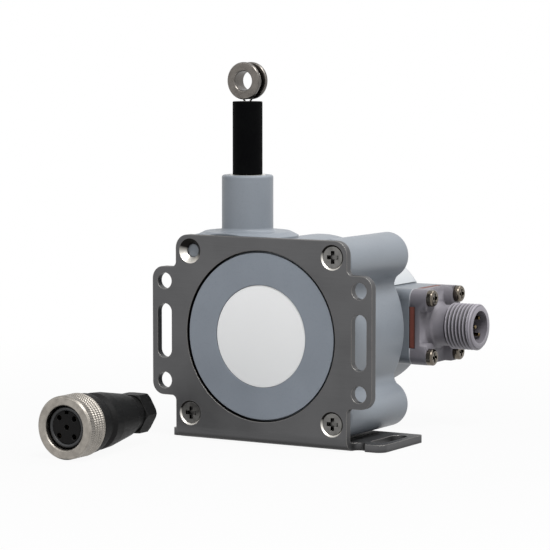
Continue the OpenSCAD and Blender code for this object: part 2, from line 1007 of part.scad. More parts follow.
// Five short leads from the board's header to the backs of the contacts
module wire_harness() {
    lead_r = 0.4;
    lead_y = board_y + board_t + 1.3;
    turn_x = board_r + 0.8;
    $fn = 10;
    color("firebrick")
        on_foot()
            for (contact = contact_places) {
                row_y = lead_y + 0.6 * sign(contact[0]);
                start = [header_x + header_l, row_y, contact[1]];
                bend = [turn_x, row_y, contact[1]];
                finish = [carrier_y0 - 1.4, neck_y + contact[0], contact[1]];
                rod(start, bend, lead_r);
                translate(bend)
                    sphere(lead_r + 0.05);
                rod(bend, finish, lead_r);
            }
}

// ---------------------------------------------------------------- rear cap

module neck_outline() {
    translate([neck_y, 0])
        rounded_rect(neck_w, neck_w, neck_corner_r);
}

module neck_bore_outline() {
    difference() {
        translate([neck_y, 0])
            square(2 * neck_in, center = true);
        for (sy = [-1, 1], sz = [-1, 1])
            translate([neck_y + sy * cover_screw, sz * cover_screw])
                circle(post_r);
    }
}

module rear_cap() {
    color("slategray")
        on_foot()
            difference() {
                union() {
                    difference() {
                        union() {
                            turned_y()
                                rounded_bar_outline(cap_r, body_end, cap_end, cap_edge_r);
                            bar(0, neck_reach)
                                neck_outline();
                        }
                        disc(cap_in_r, body_end - eps, cap_end - cap_floor);
                        bar(0, neck_reach + eps)
                            neck_bore_outline();
                    }
                    difference() {
                        around(pillar_at, pillar_angles)
                            disc(pillar_r, body_end, cap_end - cap_floor + eps);
                        bar(0, neck_reach)
                            translate([neck_y, 0])
                                square(2 * neck_in, center = true);
                    }
                }
                around(pillar_at, pillar_angles) {
                    disc(cap_screw_r + seat_gap, body_end - eps, cap_end + eps);
                    disc(cap_head_r + seat_gap, cap_end - cap_head_h, cap_end + eps);
                }
                for (sy = [-1, 1], sz = [-1, 1])
                    translate([0, neck_y + sy * cover_screw, sz * cover_screw])
                        disc_x(cover_screw_r + fit_gap, neck_reach - 7, neck_reach + eps);
            }
}

module rear_cap_seal() {
    color("black")
        on_foot()
            ring(seal_out_r, seal_in_r, body_end - seal_t, body_end);
}

module rear_cap_screws() {
    color("silver")
        on_foot()
            around(pillar_at, pillar_angles)
                difference() {
                    union() {
                        disc(cap_screw_r, body_end - 2.6, cap_end - 0.3);
                        disc(cap_head_r, cap_end - cap_head_h, cap_end - 0.2);
                    }
                    translate([0, cap_end - 0.2, 0])
                        mirror([0, 1, 0])
                            cross_recess(2.2, 0.7);
                }
}

// Blank label that lies round the cap above the neck
module rear_label() {
    start = 34;
    sweep = 52;
    color("white")
        on_foot()
            rotate([0, -start, 0])
                rotate([-90, 0, 0])
                    mirror([0, 1, 0])
                        rotate_extrude(angle = sweep)
                            translate([cap_r + label_gap, body_end + 1.5])
                                square([label_t, cap_depth - 1.5 - cap_edge_r - 0.4]);
}

// ---------------------------------------------------------------- connector

module gasket_outline() {
    difference() {
        neck_outline();
        for (sy = [-1, 1], sz = [-1, 1])
            translate([neck_y + sy * neck_half, sz * neck_half])
                square(2 * (neck_half - window_half), center = true);
        translate([neck_y, 0])
            circle(5.6);
    }
}

module connector_gasket() {
    color("sienna")
        on_foot()
            bar(neck_reach, cover_x)
                gasket_outline();
}

// Feet at the four corners that reach through the gasket to the neck
module cover_feet_outline() {
    intersection() {
        neck_outline();
        for (sy = [-1, 1], sz = [-1, 1])
            translate([neck_y + sy * neck_half, sz * neck_half])
                square(2 * (neck_half - window_half - seat_gap), center = true);
    }
}

module cover_boss_outline() {
    intersection() {
        neck_outline();
        for (sy = [-1, 1], sz = [-1, 1])
            translate([neck_y + sy * cover_screw, sz * cover_screw])
                circle(3.6);
    }
}

module connector_cover() {
    nose_r = nose_d / 2;
    color("#77777f")
        on_foot()
            difference() {
                union() {
                    bar(neck_reach, cover_x + eps)
                        cover_feet_outline();
                    bar(cover_x, cover_x + cover_t)
                        neck_outline();
                    bar(cover_x + cover_t - eps, nose_x)
                        cover_boss_outline();
                    translate([0, neck_y, 0])
                        turned_x()
                            polygon([
                                [0, cover_x], [nose_neck_r + 0.8, cover_x],
                                [nose_neck_r + 0.8, nose_x - 0.9], [nose_neck_r, nose_x - 0.1],
                                [nose_neck_r, thread_x - 0.5], [nose_r, thread_x],
                                [nose_r, nose_tip - 0.6], [nose_r - 0.6, nose_tip],
                                [0, nose_tip]
                            ]);
                }
                translate([0, neck_y, 0])
                    disc_x(cavity_r, neck_reach - 1, nose_tip + 1);
                for (sy = [-1, 1], sz = [-1, 1])
                    translate([0, neck_y + sy * cover_screw, sz * cover_screw])
                        disc_x(cover_screw_r + seat_gap, neck_reach - 1, nose_x + 1);
            }
}

module contact_carrier() {
    color("#4a3a34")
        on_foot()
            difference() {
                translate([0, neck_y, 0]) {
                    disc_x(carrier_r, neck_reach, carrier_face);
                    disc_x(5.2, carrier_y0, neck_reach);
                }
                for (p = contact_places)
                    translate([0, neck_y + p[0], p[1]])
                        disc_x(pin_r + fit_gap, carrier_y0 - 1, carrier_face + 1);
            }
}

module contact_pins() {
    color("gold")
        on_foot()
            for (p = contact_places)
                translate([0, neck_y + p[0], p[1]])
                    turned_x()
                        rounded_bar_outline(pin_r, carrier_y0 - 1, nose_tip - 1.2, 0.2);
}

module connector_screws() {
    head_r2 = 2.15;
    head_t = 1.6;
    color("darkgray")
        on_foot()
            for (sy = [-1, 1], sz = [-1, 1])
                translate([0, neck_y + sy * cover_screw, sz * cover_screw])
                    difference() {
                        union() {
                            disc_x(cover_screw_r, neck_reach - 6, nose_x + 1);
                            turned_x()
                                rounded_bar_outline(head_r2, nose_x, nose_x + head_t, 0.6);
                        }
                        translate([nose_x + head_t, 0, 0])
                            rotate([0, 0, 90])
                                cross_recess(2.6, 0.9);
                    }
}

// ---------------------------------------------------------------- field plug

module plug_coupling_nut() {
    color("silver")
        plug_place()
            difference() {
                turned_y()
                    difference() {
                        polygon([
                            [0, 0], [nut_r - 0.5, 0], [nut_r, 0.5],
                            [nut_r, nut_l - 0.4], [nut_r - 0.4, nut_l], [0, nut_l]
                        ]);
                        for (i = [0 : 3])
                            translate([nut_r, 2.4 + i * 1.05])
                                rotate(45)
                                    square(0.42, center = true);
                    }
                disc(crest_r, -1, nut_l - 1.2);
                disc(insert_r + plug_wall + run_gap, nut_l - 2, nut_l + 1);
                translate([0, -eps, 0])
                    rotate([-90, 0, 0])
                        cylinder(r1 = crest_r + 0.25, r2 = crest_r, h = 0.25);
            }
}

module plug_body_outline() {
    band_r = nut_r - 0.4;
    tail_r = gland_af / 2 - 0.2;
    y0 = nut_l + run_gap;
    polygon([
        [0, y0], [band_r - 0.3, y0], [band_r, y0 + 0.3],
        [band_r, y0 + 2.4], [band_r - 0.9, y0 + 3.4],
        [band_r - 0.9, y0 + 4.6], [band_r - 0.3, y0 + 5.8],
        [band_r - 0.5, y0 + 9], [tail_r + 0.9, plug_end - 3.4],
        [tail_r, plug_end - 1.2], [tail_r, plug_end], [0, plug_end]
    ]);
}

module plug_body() {
    color("#1c1c1e")
        plug_place()
            difference() {
                union() {
                    turned_y()
                        plug_body_outline();
                    disc(insert_r + plug_wall, nut_l - 4.6, nut_l + 1);
                    disc(insert_r + plug_wall + 0.35, nut_l - 3.4, nut_l - 2.3);
                }
                disc(insert_r + fit_gap, 0, nut_l + 5);
                disc(3.4, nut_l + 4, plug_end + 1);
            }
}

module plug_insert() {
    color("#141414")
        plug_place()
            difference() {
                disc(insert_r, insert_face, nut_l + 4.8);
                for (p = contact_places)
                    translate([p[0], 0, p[1]])
                        disc(socket_r + fit_gap, insert_face - 1, nut_l + 6);
                translate([-0.6, insert_face - 1, insert_r - 0.8])
                    cube([1.2, 5, 2]);
            }
}

module plug_sockets() {
    color("gold")
        plug_place()
            for (p = contact_places)
                translate([p[0], 0, p[1]])
                    difference() {
                        disc(socket_r, insert_face + 1.2, nut_l + 4.8);
                        disc(pin_r + fit_gap, insert_face - 1, nut_l);
                    }
}

module plug_seal_ring() {
    color("#222222")
        plug_place()
            turned_y()
                translate([insert_r + 0.55, nut_l - 5.3])
                    circle(0.5);
}

module plug_clamp_ring() {
    color("dimgray")
        plug_place()
            ring(3.3, cable_r, plug_end - 5, plug_end);
}

module plug_gland_nut() {
    corner_r = gland_af / 2 / cos(30);
    color("#1c1c1e")
        plug_place()
            difference() {
                intersection() {
                    slab(plug_end, plug_end + gland_l)
                        circle(corner_r, $fn = 6);
                    turned_y()
                        polygon([
                            [0, plug_end], [corner_r - 0.5, plug_end],
                            [corner_r + 0.1, plug_end + 0.6],
                            [corner_r + 0.1, plug_end + gland_l - 0.6],
                            [corner_r - 0.5, plug_end + gland_l], [0, plug_end + gland_l]
                        ]);
                }
                disc(cable_r, plug_end - 1, plug_end + gland_l + 1);
            }
}

mounting_bracket();
bracket_screws();
main_housing();
front_cover();
front_cover_seal();
front_label();
front_bearing();
rear_bearing();
drum_shaft();
wire_drum();
wound_wire();
free_wire();
guide_bush();
wire_wiper();
stop_sleeve();
crimp_ferrule();
wire_loop();
wire_eyelet();
spring_arbor();
power_spring();
spring_cup();
spring_cup_lid();
shaft_clips();
code_disc_hub();
code_disc();
optical_sensor();
encoder_board();
board_screws();
board_header();
wire_harness();
rear_cap();
rear_cap_seal();
rear_cap_screws();
rear_label();
connector_gasket();
connector_cover();
contact_carrier();
contact_pins();
connector_screws();
plug_coupling_nut();
plug_body();
plug_insert();
plug_sockets();
plug_seal_ring();
plug_clamp_ring();
plug_gland_nut();
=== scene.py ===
"""Draw wire encoder and its loose field plug: finishes, threads, wire and studio.

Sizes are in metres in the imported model's frame: X right, Y back, Z up. The origin is
on the underside of the foot, below the drum's axis and in the plane of the wire.
"""

import math

import bmesh
import bpy
from bpy.props import FloatProperty, FloatVectorProperty, IntProperty, PointerProperty
from bpy.types import Operator, Panel, PropertyGroup
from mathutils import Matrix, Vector


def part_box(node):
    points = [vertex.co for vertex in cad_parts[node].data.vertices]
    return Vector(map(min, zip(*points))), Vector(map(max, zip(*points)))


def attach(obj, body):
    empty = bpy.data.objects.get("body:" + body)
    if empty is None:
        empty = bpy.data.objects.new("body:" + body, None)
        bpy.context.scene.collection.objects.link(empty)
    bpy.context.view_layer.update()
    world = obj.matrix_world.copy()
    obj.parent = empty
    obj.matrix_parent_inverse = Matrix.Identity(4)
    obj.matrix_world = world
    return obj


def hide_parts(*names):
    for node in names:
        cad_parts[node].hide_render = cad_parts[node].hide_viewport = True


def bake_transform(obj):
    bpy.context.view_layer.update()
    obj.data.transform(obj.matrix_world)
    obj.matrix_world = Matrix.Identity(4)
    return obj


bl_info = {
    "name": "Draw wire encoder",
    "version": (1, 0, 0),
    "blender": (4, 5, 0),
    "location": "View3D > Sidebar > Draw wire",
    "description": "Finishes, threads, measuring wire and studio of a draw wire encoder",
    "category": "Object",
}

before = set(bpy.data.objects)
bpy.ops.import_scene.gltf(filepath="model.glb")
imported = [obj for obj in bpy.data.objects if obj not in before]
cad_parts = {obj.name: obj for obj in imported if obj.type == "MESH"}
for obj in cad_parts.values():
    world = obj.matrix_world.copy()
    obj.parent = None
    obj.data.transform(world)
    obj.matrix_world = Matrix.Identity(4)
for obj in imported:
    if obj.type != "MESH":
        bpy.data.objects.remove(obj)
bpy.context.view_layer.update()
MM = 0.001

# Where the CAD has the axes and edges that pieces and finishes are built on
DRUM_HEIGHT = 27.2 * MM
SCREW_OFFSET = Vector((20.6, 0.0, 20.6)) * MM  # from the drum's axis to a bracket screw
WIRE_AXIS = Vector((-11.4, 0.0, 0.0)) * MM
PLUG_AXIS = Vector((-28.0, -58.0, 7.8)) * MM  # in the plane of the coupling nut's mouth
THREAD_AXIS = Vector((0.0, 34.3, 27.2)) * MM
# Along the connector's axis: the gasket's two faces, the thread's ends and the nose's tip
GASKET_START = 22.2 * MM
GASKET_END = 23.9 * MM
THREAD_START = 29.65 * MM
THREAD_END = 37.05 * MM
NOSE_TIP = 37.7 * MM
NECK_RADIUS = 5.3 * MM

# The connector thread's form, as shares of its pitch and of its depth, and how many
# steps one turn is drawn in
THREAD_FORM = ((0.0, 0.0), (0.14, 0.0), (0.36, 0.66), (0.46, 1.0), (0.58, 1.0), (0.68, 0.66),
               (0.9, 0.0), (1.0, 0.0))
THREAD_STEPS = 96

# The measuring wire's outer strands, and how finely each and the whole is drawn
WIRE_STRANDS = 6
STRAND_HALF_ARC = 88.0
STRAND_POINTS = 5
WIRE_STEPS = 14

# Each lamp's place and size in metres
LAMPS = {
    "key": ((0.39, -0.40, 0.85), 0.30),
    "back": ((0.30, 0.42, 0.84), 0.55),
    "side": ((0.86, -0.12, 0.74), 0.60),
    "front": ((-0.45, -1.00, 0.49), 0.70),
}
LAMP_TARGET = Vector((0.0, 0.0, 0.04))
CAMERA_PLACE = Vector((0.34062, -0.57963, 0.10152))
CAMERA_TARGET = Vector((0.00441, -0.013, 0.04281))
CAMERA_LENS = 174.75
FLOOR_SIZE = 6.0
FLOOR_DROP = 0.2 * MM


# ---------------------------------------------------------------- sizes and colours


def linear(hex_colour):
    """An sRGB hex colour, such as "#8a9199", as linear red, green and blue."""
    channels = []
    for start in (1, 3, 5):
        value = int(hex_colour[start:start + 2], 16) / 255
        channels.append(value / 12.92 if value <= 0.04045 else ((value + 0.055) / 1.055) ** 2.4)
    return tuple(channels)


def per_mm(size):
    """The texture scale that makes one feature this many millimetres across."""
    return 1.0 / (size * MM)


class DRAWWIRE_PG_sizes(PropertyGroup):
    """Sizes of the pieces that are built here"""

    thread_pitch: FloatProperty(
        name="Thread pitch", description="Pitch of the M12x1 connector thread",
        default=1.0 * MM, min=0.5 * MM, unit="LENGTH", precision=5)
    thread_crest: FloatProperty(
        name="Thread crest radius", description="Outer radius of the connector thread",
        default=5.97 * MM, min=5.5 * MM, unit="LENGTH", precision=5)
    thread_root: FloatProperty(
        name="Thread root radius", description="Radius that the thread stands on",
        default=5.36 * MM, min=5.0 * MM, unit="LENGTH", precision=5)
    nut_radius: FloatProperty(
        name="Nut radius", description="Outer radius of the plug's coupling nut",
        default=7.8 * MM, min=7.0 * MM, unit="LENGTH", precision=5)
    knurl_teeth: IntProperty(
        name="Knurl teeth", description="Teeth round the coupling nut's knurled bands",
        default=84, min=24, max=160)
    knurl_depth: FloatProperty(
        name="Knurl depth", description="Depth of the straight knurl on the nut",
        default=0.16 * MM, min=0.0, unit="LENGTH", precision=5)
    wire_radius: FloatProperty(
        name="Wire radius", description="Outer radius of the stranded measuring wire",
        default=0.24 * MM, min=0.1 * MM, unit="LENGTH", precision=5)
    wire_lay: FloatProperty(
        name="Wire lay", description="Length in which a strand goes once round the wire",
        default=3.4 * MM, min=1.0 * MM, unit="LENGTH", precision=5)


class DRAWWIRE_PG_colours(PropertyGroup):
    """Main colours of the visible finishes, as linear values of sRGB hex colours"""

    bracket: FloatVectorProperty(
        name="Bracket", description="Satin stainless sheet of the bracket",
        subtype="COLOR", size=3, min=0.0, max=1.0, default=linear("#565657"))
    housing: FloatVectorProperty(
        name="Housing", description="Blue-grey moulded plastic of the housing",
        subtype="COLOR", size=3, min=0.0, max=1.0, default=linear("#82888f"))
    cover: FloatVectorProperty(
        name="Front cover", description="Blue-grey moulded plastic of the round cover",
        subtype="COLOR", size=3, min=0.0, max=1.0, default=linear("#838a93"))
    connector: FloatVectorProperty(
        name="Connector", description="Violet-grey moulded plastic of the connector",
        subtype="COLOR", size=3, min=0.0, max=1.0, default=linear("#767379"))
    label: FloatVectorProperty(
        name="Labels", description="Bare white label film",
        subtype="COLOR", size=3, min=0.0, max=1.0, default=linear("#f6f6f6"))
    sleeve: FloatVectorProperty(
        name="Stop sleeve", description="Black rubber of the wire stop",
        subtype="COLOR", size=3, min=0.0, max=1.0, default=linear("#030304"))
    gasket: FloatVectorProperty(
        name="Gasket", description="Red-brown rubber of the connector gasket",
        subtype="COLOR", size=3, min=0.0, max=1.0, default=linear("#6d3a30"))
    nut: FloatVectorProperty(
        name="Coupling nut", description="Nickel plated brass of the plug's nut",
        subtype="COLOR", size=3, min=0.0, max=1.0, default=linear("#938e87"))
    plug: FloatVectorProperty(
        name="Plug body", description="Black glass filled plastic of the plug",
        subtype="COLOR", size=3, min=0.0, max=1.0, default=linear("#131313"))


class DRAWWIRE_PG_studio(PropertyGroup):
    """Lamps and surroundings"""

    sky: FloatProperty(
        name="Surroundings", description="Level of the even light from all sides",
        default=0.2, min=0.0, max=2.0)
    key: FloatProperty(
        name="Key lamp", description="Power of the lamp above and in front, in watts",
        default=6.5, min=0.0, max=60.0)
    back: FloatProperty(
        name="Back lamp", description="Power of the lamp above and behind, in watts",
        default=3.7, min=0.0, max=60.0)
    side: FloatProperty(
        name="Side lamp", description="Power of the lamp on the connector's side, in watts",
        default=4.0, min=0.0, max=60.0)
    front: FloatProperty(
        name="Front lamp", description="Power of the lamp in front, in watts",
        default=2.9, min=0.0, max=60.0)


# ---------------------------------------------------------------- node helpers


def add(tree, kind, settings=None, links=None):
    """Adds one node, sets its properties and input values, and links its inputs."""
    node = tree.nodes.new(kind)
    for key, value in (settings or {}).items():
        if isinstance(key, str) and key not in node.inputs:
            setattr(node, key, value)
            continue
        socket = node.inputs[key]
        if socket.type == "RGBA" and len(value) == 3:
            value = (*value, 1.0)
        socket.default_value = value
    for key, output in (links or {}).items():
        tree.links.new(output, node.inputs[key])
    return node


def start_material(name):
    """A new material with an empty tree, and the point being shaded, in metres."""
    material = bpy.data.materials.new(name)
    material.use_nodes = True
    tree = material.node_tree
    tree.nodes.clear()
    point = add(tree, "ShaderNodeTexCoord").outputs["Object"]
    return material, tree, point


def shade(colour, factor):
    """The same colour, lighter or darker."""
    return tuple(min(1.0, max(0.0, channel * factor)) for channel in colour)


def layered(tree, below, above, mask, start=0.0, end=1.0, first=0.0, last=1.0):
    """Lays a colour over another, by a share that goes from first to last as the mask
    goes from start to end. Each colour is a value or another node's output."""
    share = add(tree, "ShaderNodeMapRange", {
        "From Min": start, "From Max": end, "To Min": first, "To Max": last}, {"Value": mask})
    settings, links = {"data_type": "RGBA"}, {0: share.outputs["Result"]}
    for index, colour in ((6, below), (7, above)):
        if hasattr(colour, "links"):
            links[index] = colour
        else:
            settings[index] = colour
    return add(tree, "ShaderNodeMix", settings, links).outputs[2]


def rounded_normal(tree, radius_mm):
    """The normal with edges rounded to this radius, and how much of an edge it is."""
    soft = add(tree, "ShaderNodeBevel", {"samples": 6, "Radius": radius_mm * MM})
    flat = add(tree, "ShaderNodeNewGeometry")
    match = add(tree, "ShaderNodeVectorMath", {"operation": "DOT_PRODUCT"}, {
        0: soft.outputs["Normal"], 1: flat.outputs["Normal"]})
    edge = add(tree, "ShaderNodeMapRange", {
        "From Min": 0.75, "From Max": 0.99, "To Min": 1.0, "To Max": 0.0}, {
        "Value": match.outputs["Value"]})
    return soft.outputs["Normal"], edge.outputs["Result"]


def openness(tree, reach_mm):
    """How open the surface is to the air within this distance, from 0 to 1."""
    return add(tree, "ShaderNodeAmbientOcclusion", {
        "samples": 8, "Distance": reach_mm * MM}).outputs["AO"]


def distance_from(tree, point, centre, stretch):
    """How far a point is from a place, or from an axis when one stretch is 0, in metres."""
    offset = add(tree, "ShaderNodeVectorMath", {"operation": "SUBTRACT", 1: centre}, {0: point})
    flat = add(tree, "ShaderNodeVectorMath", {"operation": "MULTIPLY", 1: stretch}, {
        0: offset.outputs["Vector"]})
    return add(tree, "ShaderNodeVectorMath", {"operation": "LENGTH"}, {
        0: flat.outputs["Vector"]}).outputs["Value"]


def close_material(tree, shader):
    """Links the shader to the material's output."""
    add(tree, "ShaderNodeOutputMaterial", links={"Surface": shader.outputs[0]})


def finish(tree, tone, normal, relief, gloss, settings):
    """Ends a material: relief is a height with its strength and its depth in mm, and
    gloss is a mask with the two roughnesses that it runs between."""
    height, strength, depth_mm = relief
    mask, smooth, rough = gloss
    spread = add(tree, "ShaderNodeMapRange", {
        "From Min": 0.3, "From Max": 0.7, "To Min": smooth, "To Max": rough}, {"Value": mask})
    bump = add(tree, "ShaderNodeBump", {"Strength": strength, "Distance": depth_mm * MM}, {
        "Height": height, "Normal": normal})
    close_material(tree, add(tree, "ShaderNodeBsdfPrincipled", settings, {
        "Base Color": tone, "Roughness": spread.outputs["Result"],
        "Normal": bump.outputs["Normal"]}))


# ---------------------------------------------------------------- local painted light
# Each function paints light or shade into the tone of one material where the part itself is
# special


def connector_painted_light(tree, point, tone, colour):
    """Painted highlights on the thread crests, painted shade at their roots, and painted light on
    the nose's front face and on the edge at the gasket.
    """
    along = add(tree, "ShaderNodeSeparateXYZ", links={"Vector": point}).outputs["X"]
    radius = distance_from(tree, point, THREAD_AXIS, (0.0, 1.0, 1.0))
    # Painted highlight on the thread crests, and painted shade at their roots
    thread = layered(tree, tone, shade(colour, 1.8), radius, 5.66 * MM, 5.86 * MM)
    thread = layered(tree, thread, shade(colour, 0.22), radius, 5.44 * MM, 5.66 * MM, 1.0, 0.0)
    # The thread's painted light and shade are kept to the outside of the nose, from the first turn
    # on
    outside = layered(tree, tone, thread, along, THREAD_START, THREAD_START + 0.2 * MM)
    tone = layered(tree, tone, outside, radius, 5.2 * MM, 5.28 * MM)
    # The nose's front face and the edge at the gasket are painted pale, as painted light
    tone = layered(tree, tone, shade(colour, 1.45), along, NOSE_TIP - 0.15 * MM,
                   NOSE_TIP - 0.03 * MM)
    return layered(tree, tone, linear("#c6c8cd"), along, GASKET_START + 0.2 * MM,
                   GASKET_START + 0.32 * MM, 0.75, 0.0)


def shaded_lips(tree, point, tone, colour):
    """The gasket's two edges, in the shadow of the parts that squeeze it."""
    along = add(tree, "ShaderNodeSeparateXYZ", links={"Vector": point}).outputs["X"]
    away = add(tree, "ShaderNodeMath", {
        "operation": "SUBTRACT", 1: 0.5 * (GASKET_START + GASKET_END)}, {0: along})
    far = add(tree, "ShaderNodeMath", {"operation": "ABSOLUTE"}, {0: away.outputs[0]})
    return layered(tree, tone, shade(colour, 0.18), far.outputs[0], 0.35 * MM, 0.75 * MM,
                   0.0, 0.9)


def painted_countersink_light(tree, point, tone, shade_openness):
    """The bracket's four countersinks, with a painted highlight and painted shade on their cones.
    """
    # Their cones are painted bright where they face up towards the lamps, as a painted highlight,
    # and painted black where they face down and where the screw heads shut the light out, as
    # painted shade.
    level = add(tree, "ShaderNodeVectorMath", {
        "operation": "SUBTRACT", 1: (0.0, 0.0, DRUM_HEIGHT)}, {0: point})
    quarter = add(tree, "ShaderNodeVectorMath", {"operation": "ABSOLUTE"}, {
        0: level.outputs["Vector"]})
    reach = distance_from(tree, quarter.outputs["Vector"], SCREW_OFFSET, (1.0, 0.0, 1.0))
    facing = add(tree, "ShaderNodeNewGeometry").outputs["Normal"]
    ahead = add(tree, "ShaderNodeVectorMath", {
        "operation": "DOT_PRODUCT", 1: (0.0, -1.0, 0.0)}, {0: facing})
    facing_light = add(tree, "ShaderNodeVectorMath", {
        "operation": "DOT_PRODUCT", 1: (0.35, 0.0, 0.94)}, {0: facing})
    lit_cone = layered(tree, linear("#1d1c1b"), linear("#d6d3cd"), facing_light.outputs["Value"], -0.05, 0.4)
    lit_cone = layered(tree, lit_cone, linear("#050505"), shade_openness, 0.4, 0.56, 1.0, 0.0)
    # Only what is tilted and near a screw's axis is a cone
    lit_cone = layered(tree, tone, lit_cone, ahead.outputs["Value"], 0.8, 0.95, 1.0, 0.0)
    return layered(tree, tone, lit_cone, reach, 3.6 * MM, 3.8 * MM, 1.0, 0.0)


# ---------------------------------------------------------------- materials


def moulded_plastic(name, colour, grain_mm, edge_mm, roughness=0.38, edge_wear_and_highlight=1.28,
                    shade_reach_mm=1.0, painted_light=None):
    """Injection moulded plastic from a spark-eroded tool, with local painted light if given."""
    # The tool's fine pits scatter the light, so it looks even and slightly silky.
    # Broad cloudy changes come from the melt's flow; edges are lighter, partly rubbed and
    # partly a painted highlight; and narrow hollows are darkened with painted shade.
    material, tree, point = start_material(name)
    flow = add(tree, "ShaderNodeTexNoise", {
        "Scale": per_mm(14.0), "Detail": 2.0, "Roughness": 0.45}, {"Vector": point})
    pits = add(tree, "ShaderNodeTexNoise", {
        "Scale": per_mm(grain_mm), "Detail": 3.0, "Roughness": 0.6}, {"Vector": point})
    clouds, grain = flow.outputs["Fac"], pits.outputs["Fac"]
    normal, edge = rounded_normal(tree, edge_mm)
    tone = layered(tree, shade(colour, 0.95), shade(colour, 1.05), clouds, 0.3, 0.7)
    tone = layered(tree, tone, shade(colour, 0.84), grain, 0.52, 0.8, 0.0, 0.5)
    # Painted shade darkens the narrow hollows; the edges are lightened, partly as rubbed wear and
    # partly as a painted highlight
    tone = layered(tree, shade(colour, 0.35), tone, openness(tree, shade_reach_mm), 0.3, 0.8)
    tone = layered(tree, tone, shade(colour, edge_wear_and_highlight), edge, last=0.6)
    if painted_light:
        tone = painted_light(tree, point, tone, colour)
    finish(tree, tone, normal, (grain, 0.35, 0.02), (clouds, roughness - 0.05, roughness + 0.06),
           {"IOR": 1.5, "Specular IOR Level": 0.32})
    return material


def satin_stainless(colour):
    """Cold rolled stainless sheet, tumbled after punching and folding."""
    # The rolling lines run along the sheet and spread the reflections; the cut edges are
    # brighter than the faces, partly tumbled and partly a painted highlight; handling leaves
    # faint cloudy smears; and painted shade darkens the folds and round the screw heads.
    material, tree, point = start_material("satin_stainless_sheet")
    along = add(tree, "ShaderNodeMapping", {"Scale": (0.045, 1.0, 1.0)}, {"Vector": point})
    rolled = add(tree, "ShaderNodeTexNoise", {
        "Scale": per_mm(0.32), "Detail": 2.0, "Roughness": 0.55},
        {"Vector": along.outputs["Vector"]})
    smear = add(tree, "ShaderNodeTexNoise", {
        "Scale": per_mm(11.0), "Detail": 3.0, "Roughness": 0.5, "Distortion": 0.4},
        {"Vector": point})
    lines, smears = rolled.outputs["Fac"], smear.outputs["Fac"]
    normal, edge = rounded_normal(tree, 0.32)
    shade_openness = openness(tree, 2.2)
    tone = layered(tree, shade(colour, 0.92), shade(colour, 1.1), smears, 0.3, 0.7)
    tone = layered(tree, tone, shade(colour, 1.15), lines, 0.4, 0.75, 0.0, 0.3)
    # Painted highlight on the edges, partly their real tumbled brightness
    tone = layered(tree, tone, linear("#9c9893"), edge, last=0.6)
    # Painted shade in the folds and round the screw heads
    tone = layered(tree, linear("#0d0c0c"), tone, shade_openness, 0.3, 0.85)
    # Painted highlights and painted shade on the countersinks' cones
    tone = painted_countersink_light(tree, point, tone, shade_openness)
    finish(tree, tone, normal, (lines, 0.2, 0.006), (smears, 0.4, 0.5), {"Metallic": 1.0})
    return material


def turned_metal(name, colour, roughness, ring_mm, axis, edge_mm=0.12, edge_highlight="#cfcabf",
                 shade_reach_mm=0.8):
    """Metal that was turned on a lathe or cold headed, then plated or polished."""
    # Tool rings follow the axis, edges are lightened with a painted highlight, partly their real
    # polish, and hollows are darkened with painted shade, so a small part glints instead of
    # looking like one grey.
    material, tree, point = start_material(name)
    stretch = tuple(1.0 if i == axis else 0.06 for i in range(3))
    along = add(tree, "ShaderNodeMapping", {"Scale": stretch}, {"Vector": point})
    rings = add(tree, "ShaderNodeTexNoise", {
        "Scale": per_mm(ring_mm), "Detail": 2.0, "Roughness": 0.5},
        {"Vector": along.outputs["Vector"]})
    tarnish = add(tree, "ShaderNodeTexNoise", {
        "Scale": per_mm(1.6), "Detail": 3.0, "Roughness": 0.55}, {"Vector": point})
    film = tarnish.outputs["Fac"]
    normal, edge = rounded_normal(tree, edge_mm)
    tone = layered(tree, shade(colour, 0.82), shade(colour, 1.12), film, 0.32, 0.68)
    # Painted shade in the hollows, and a painted highlight on the edges
    tone = layered(tree, linear("#0b0a09"), tone, openness(tree, shade_reach_mm), 0.35, 0.8)
    tone = layered(tree, tone, linear(edge_highlight), edge, last=0.7)
    finish(tree, tone, normal, (rings.outputs["Fac"], 0.25, 0.006),
           (film, roughness - 0.06, roughness + 0.08), {"Metallic": 1.0})
    return material


def moulded_rubber(name, colour, roughness, grain_mm, bloom, shine=0.5, painted_light=None):
    """Vulcanised rubber with a light bloom on its skin, and local painted light if given."""
    # It soaks up the light, and only a broad dull sheen and a dusty bloom show.
    material, tree, point = start_material(name)
    skin = add(tree, "ShaderNodeTexNoise", {
        "Scale": per_mm(grain_mm), "Detail": 4.0, "Roughness": 0.6}, {"Vector": point})
    dust = add(tree, "ShaderNodeTexNoise", {
        "Scale": per_mm(4.5), "Detail": 3.0, "Roughness": 0.6}, {"Vector": point})
    grain = skin.outputs["Fac"]
    normal, edge = rounded_normal(tree, 0.2)
    tone = layered(tree, colour, bloom, dust.outputs["Fac"], 0.35, 0.75)
    tone = layered(tree, tone, shade(bloom, 1.3), edge, last=0.4)
    if painted_light:
        tone = painted_light(tree, point, tone, colour)
    finish(tree, tone, normal, (grain, 0.4, 0.03), (grain, roughness - 0.08, roughness + 0.1),
           {"IOR": 1.52, "Specular IOR Level": shine})
    return material


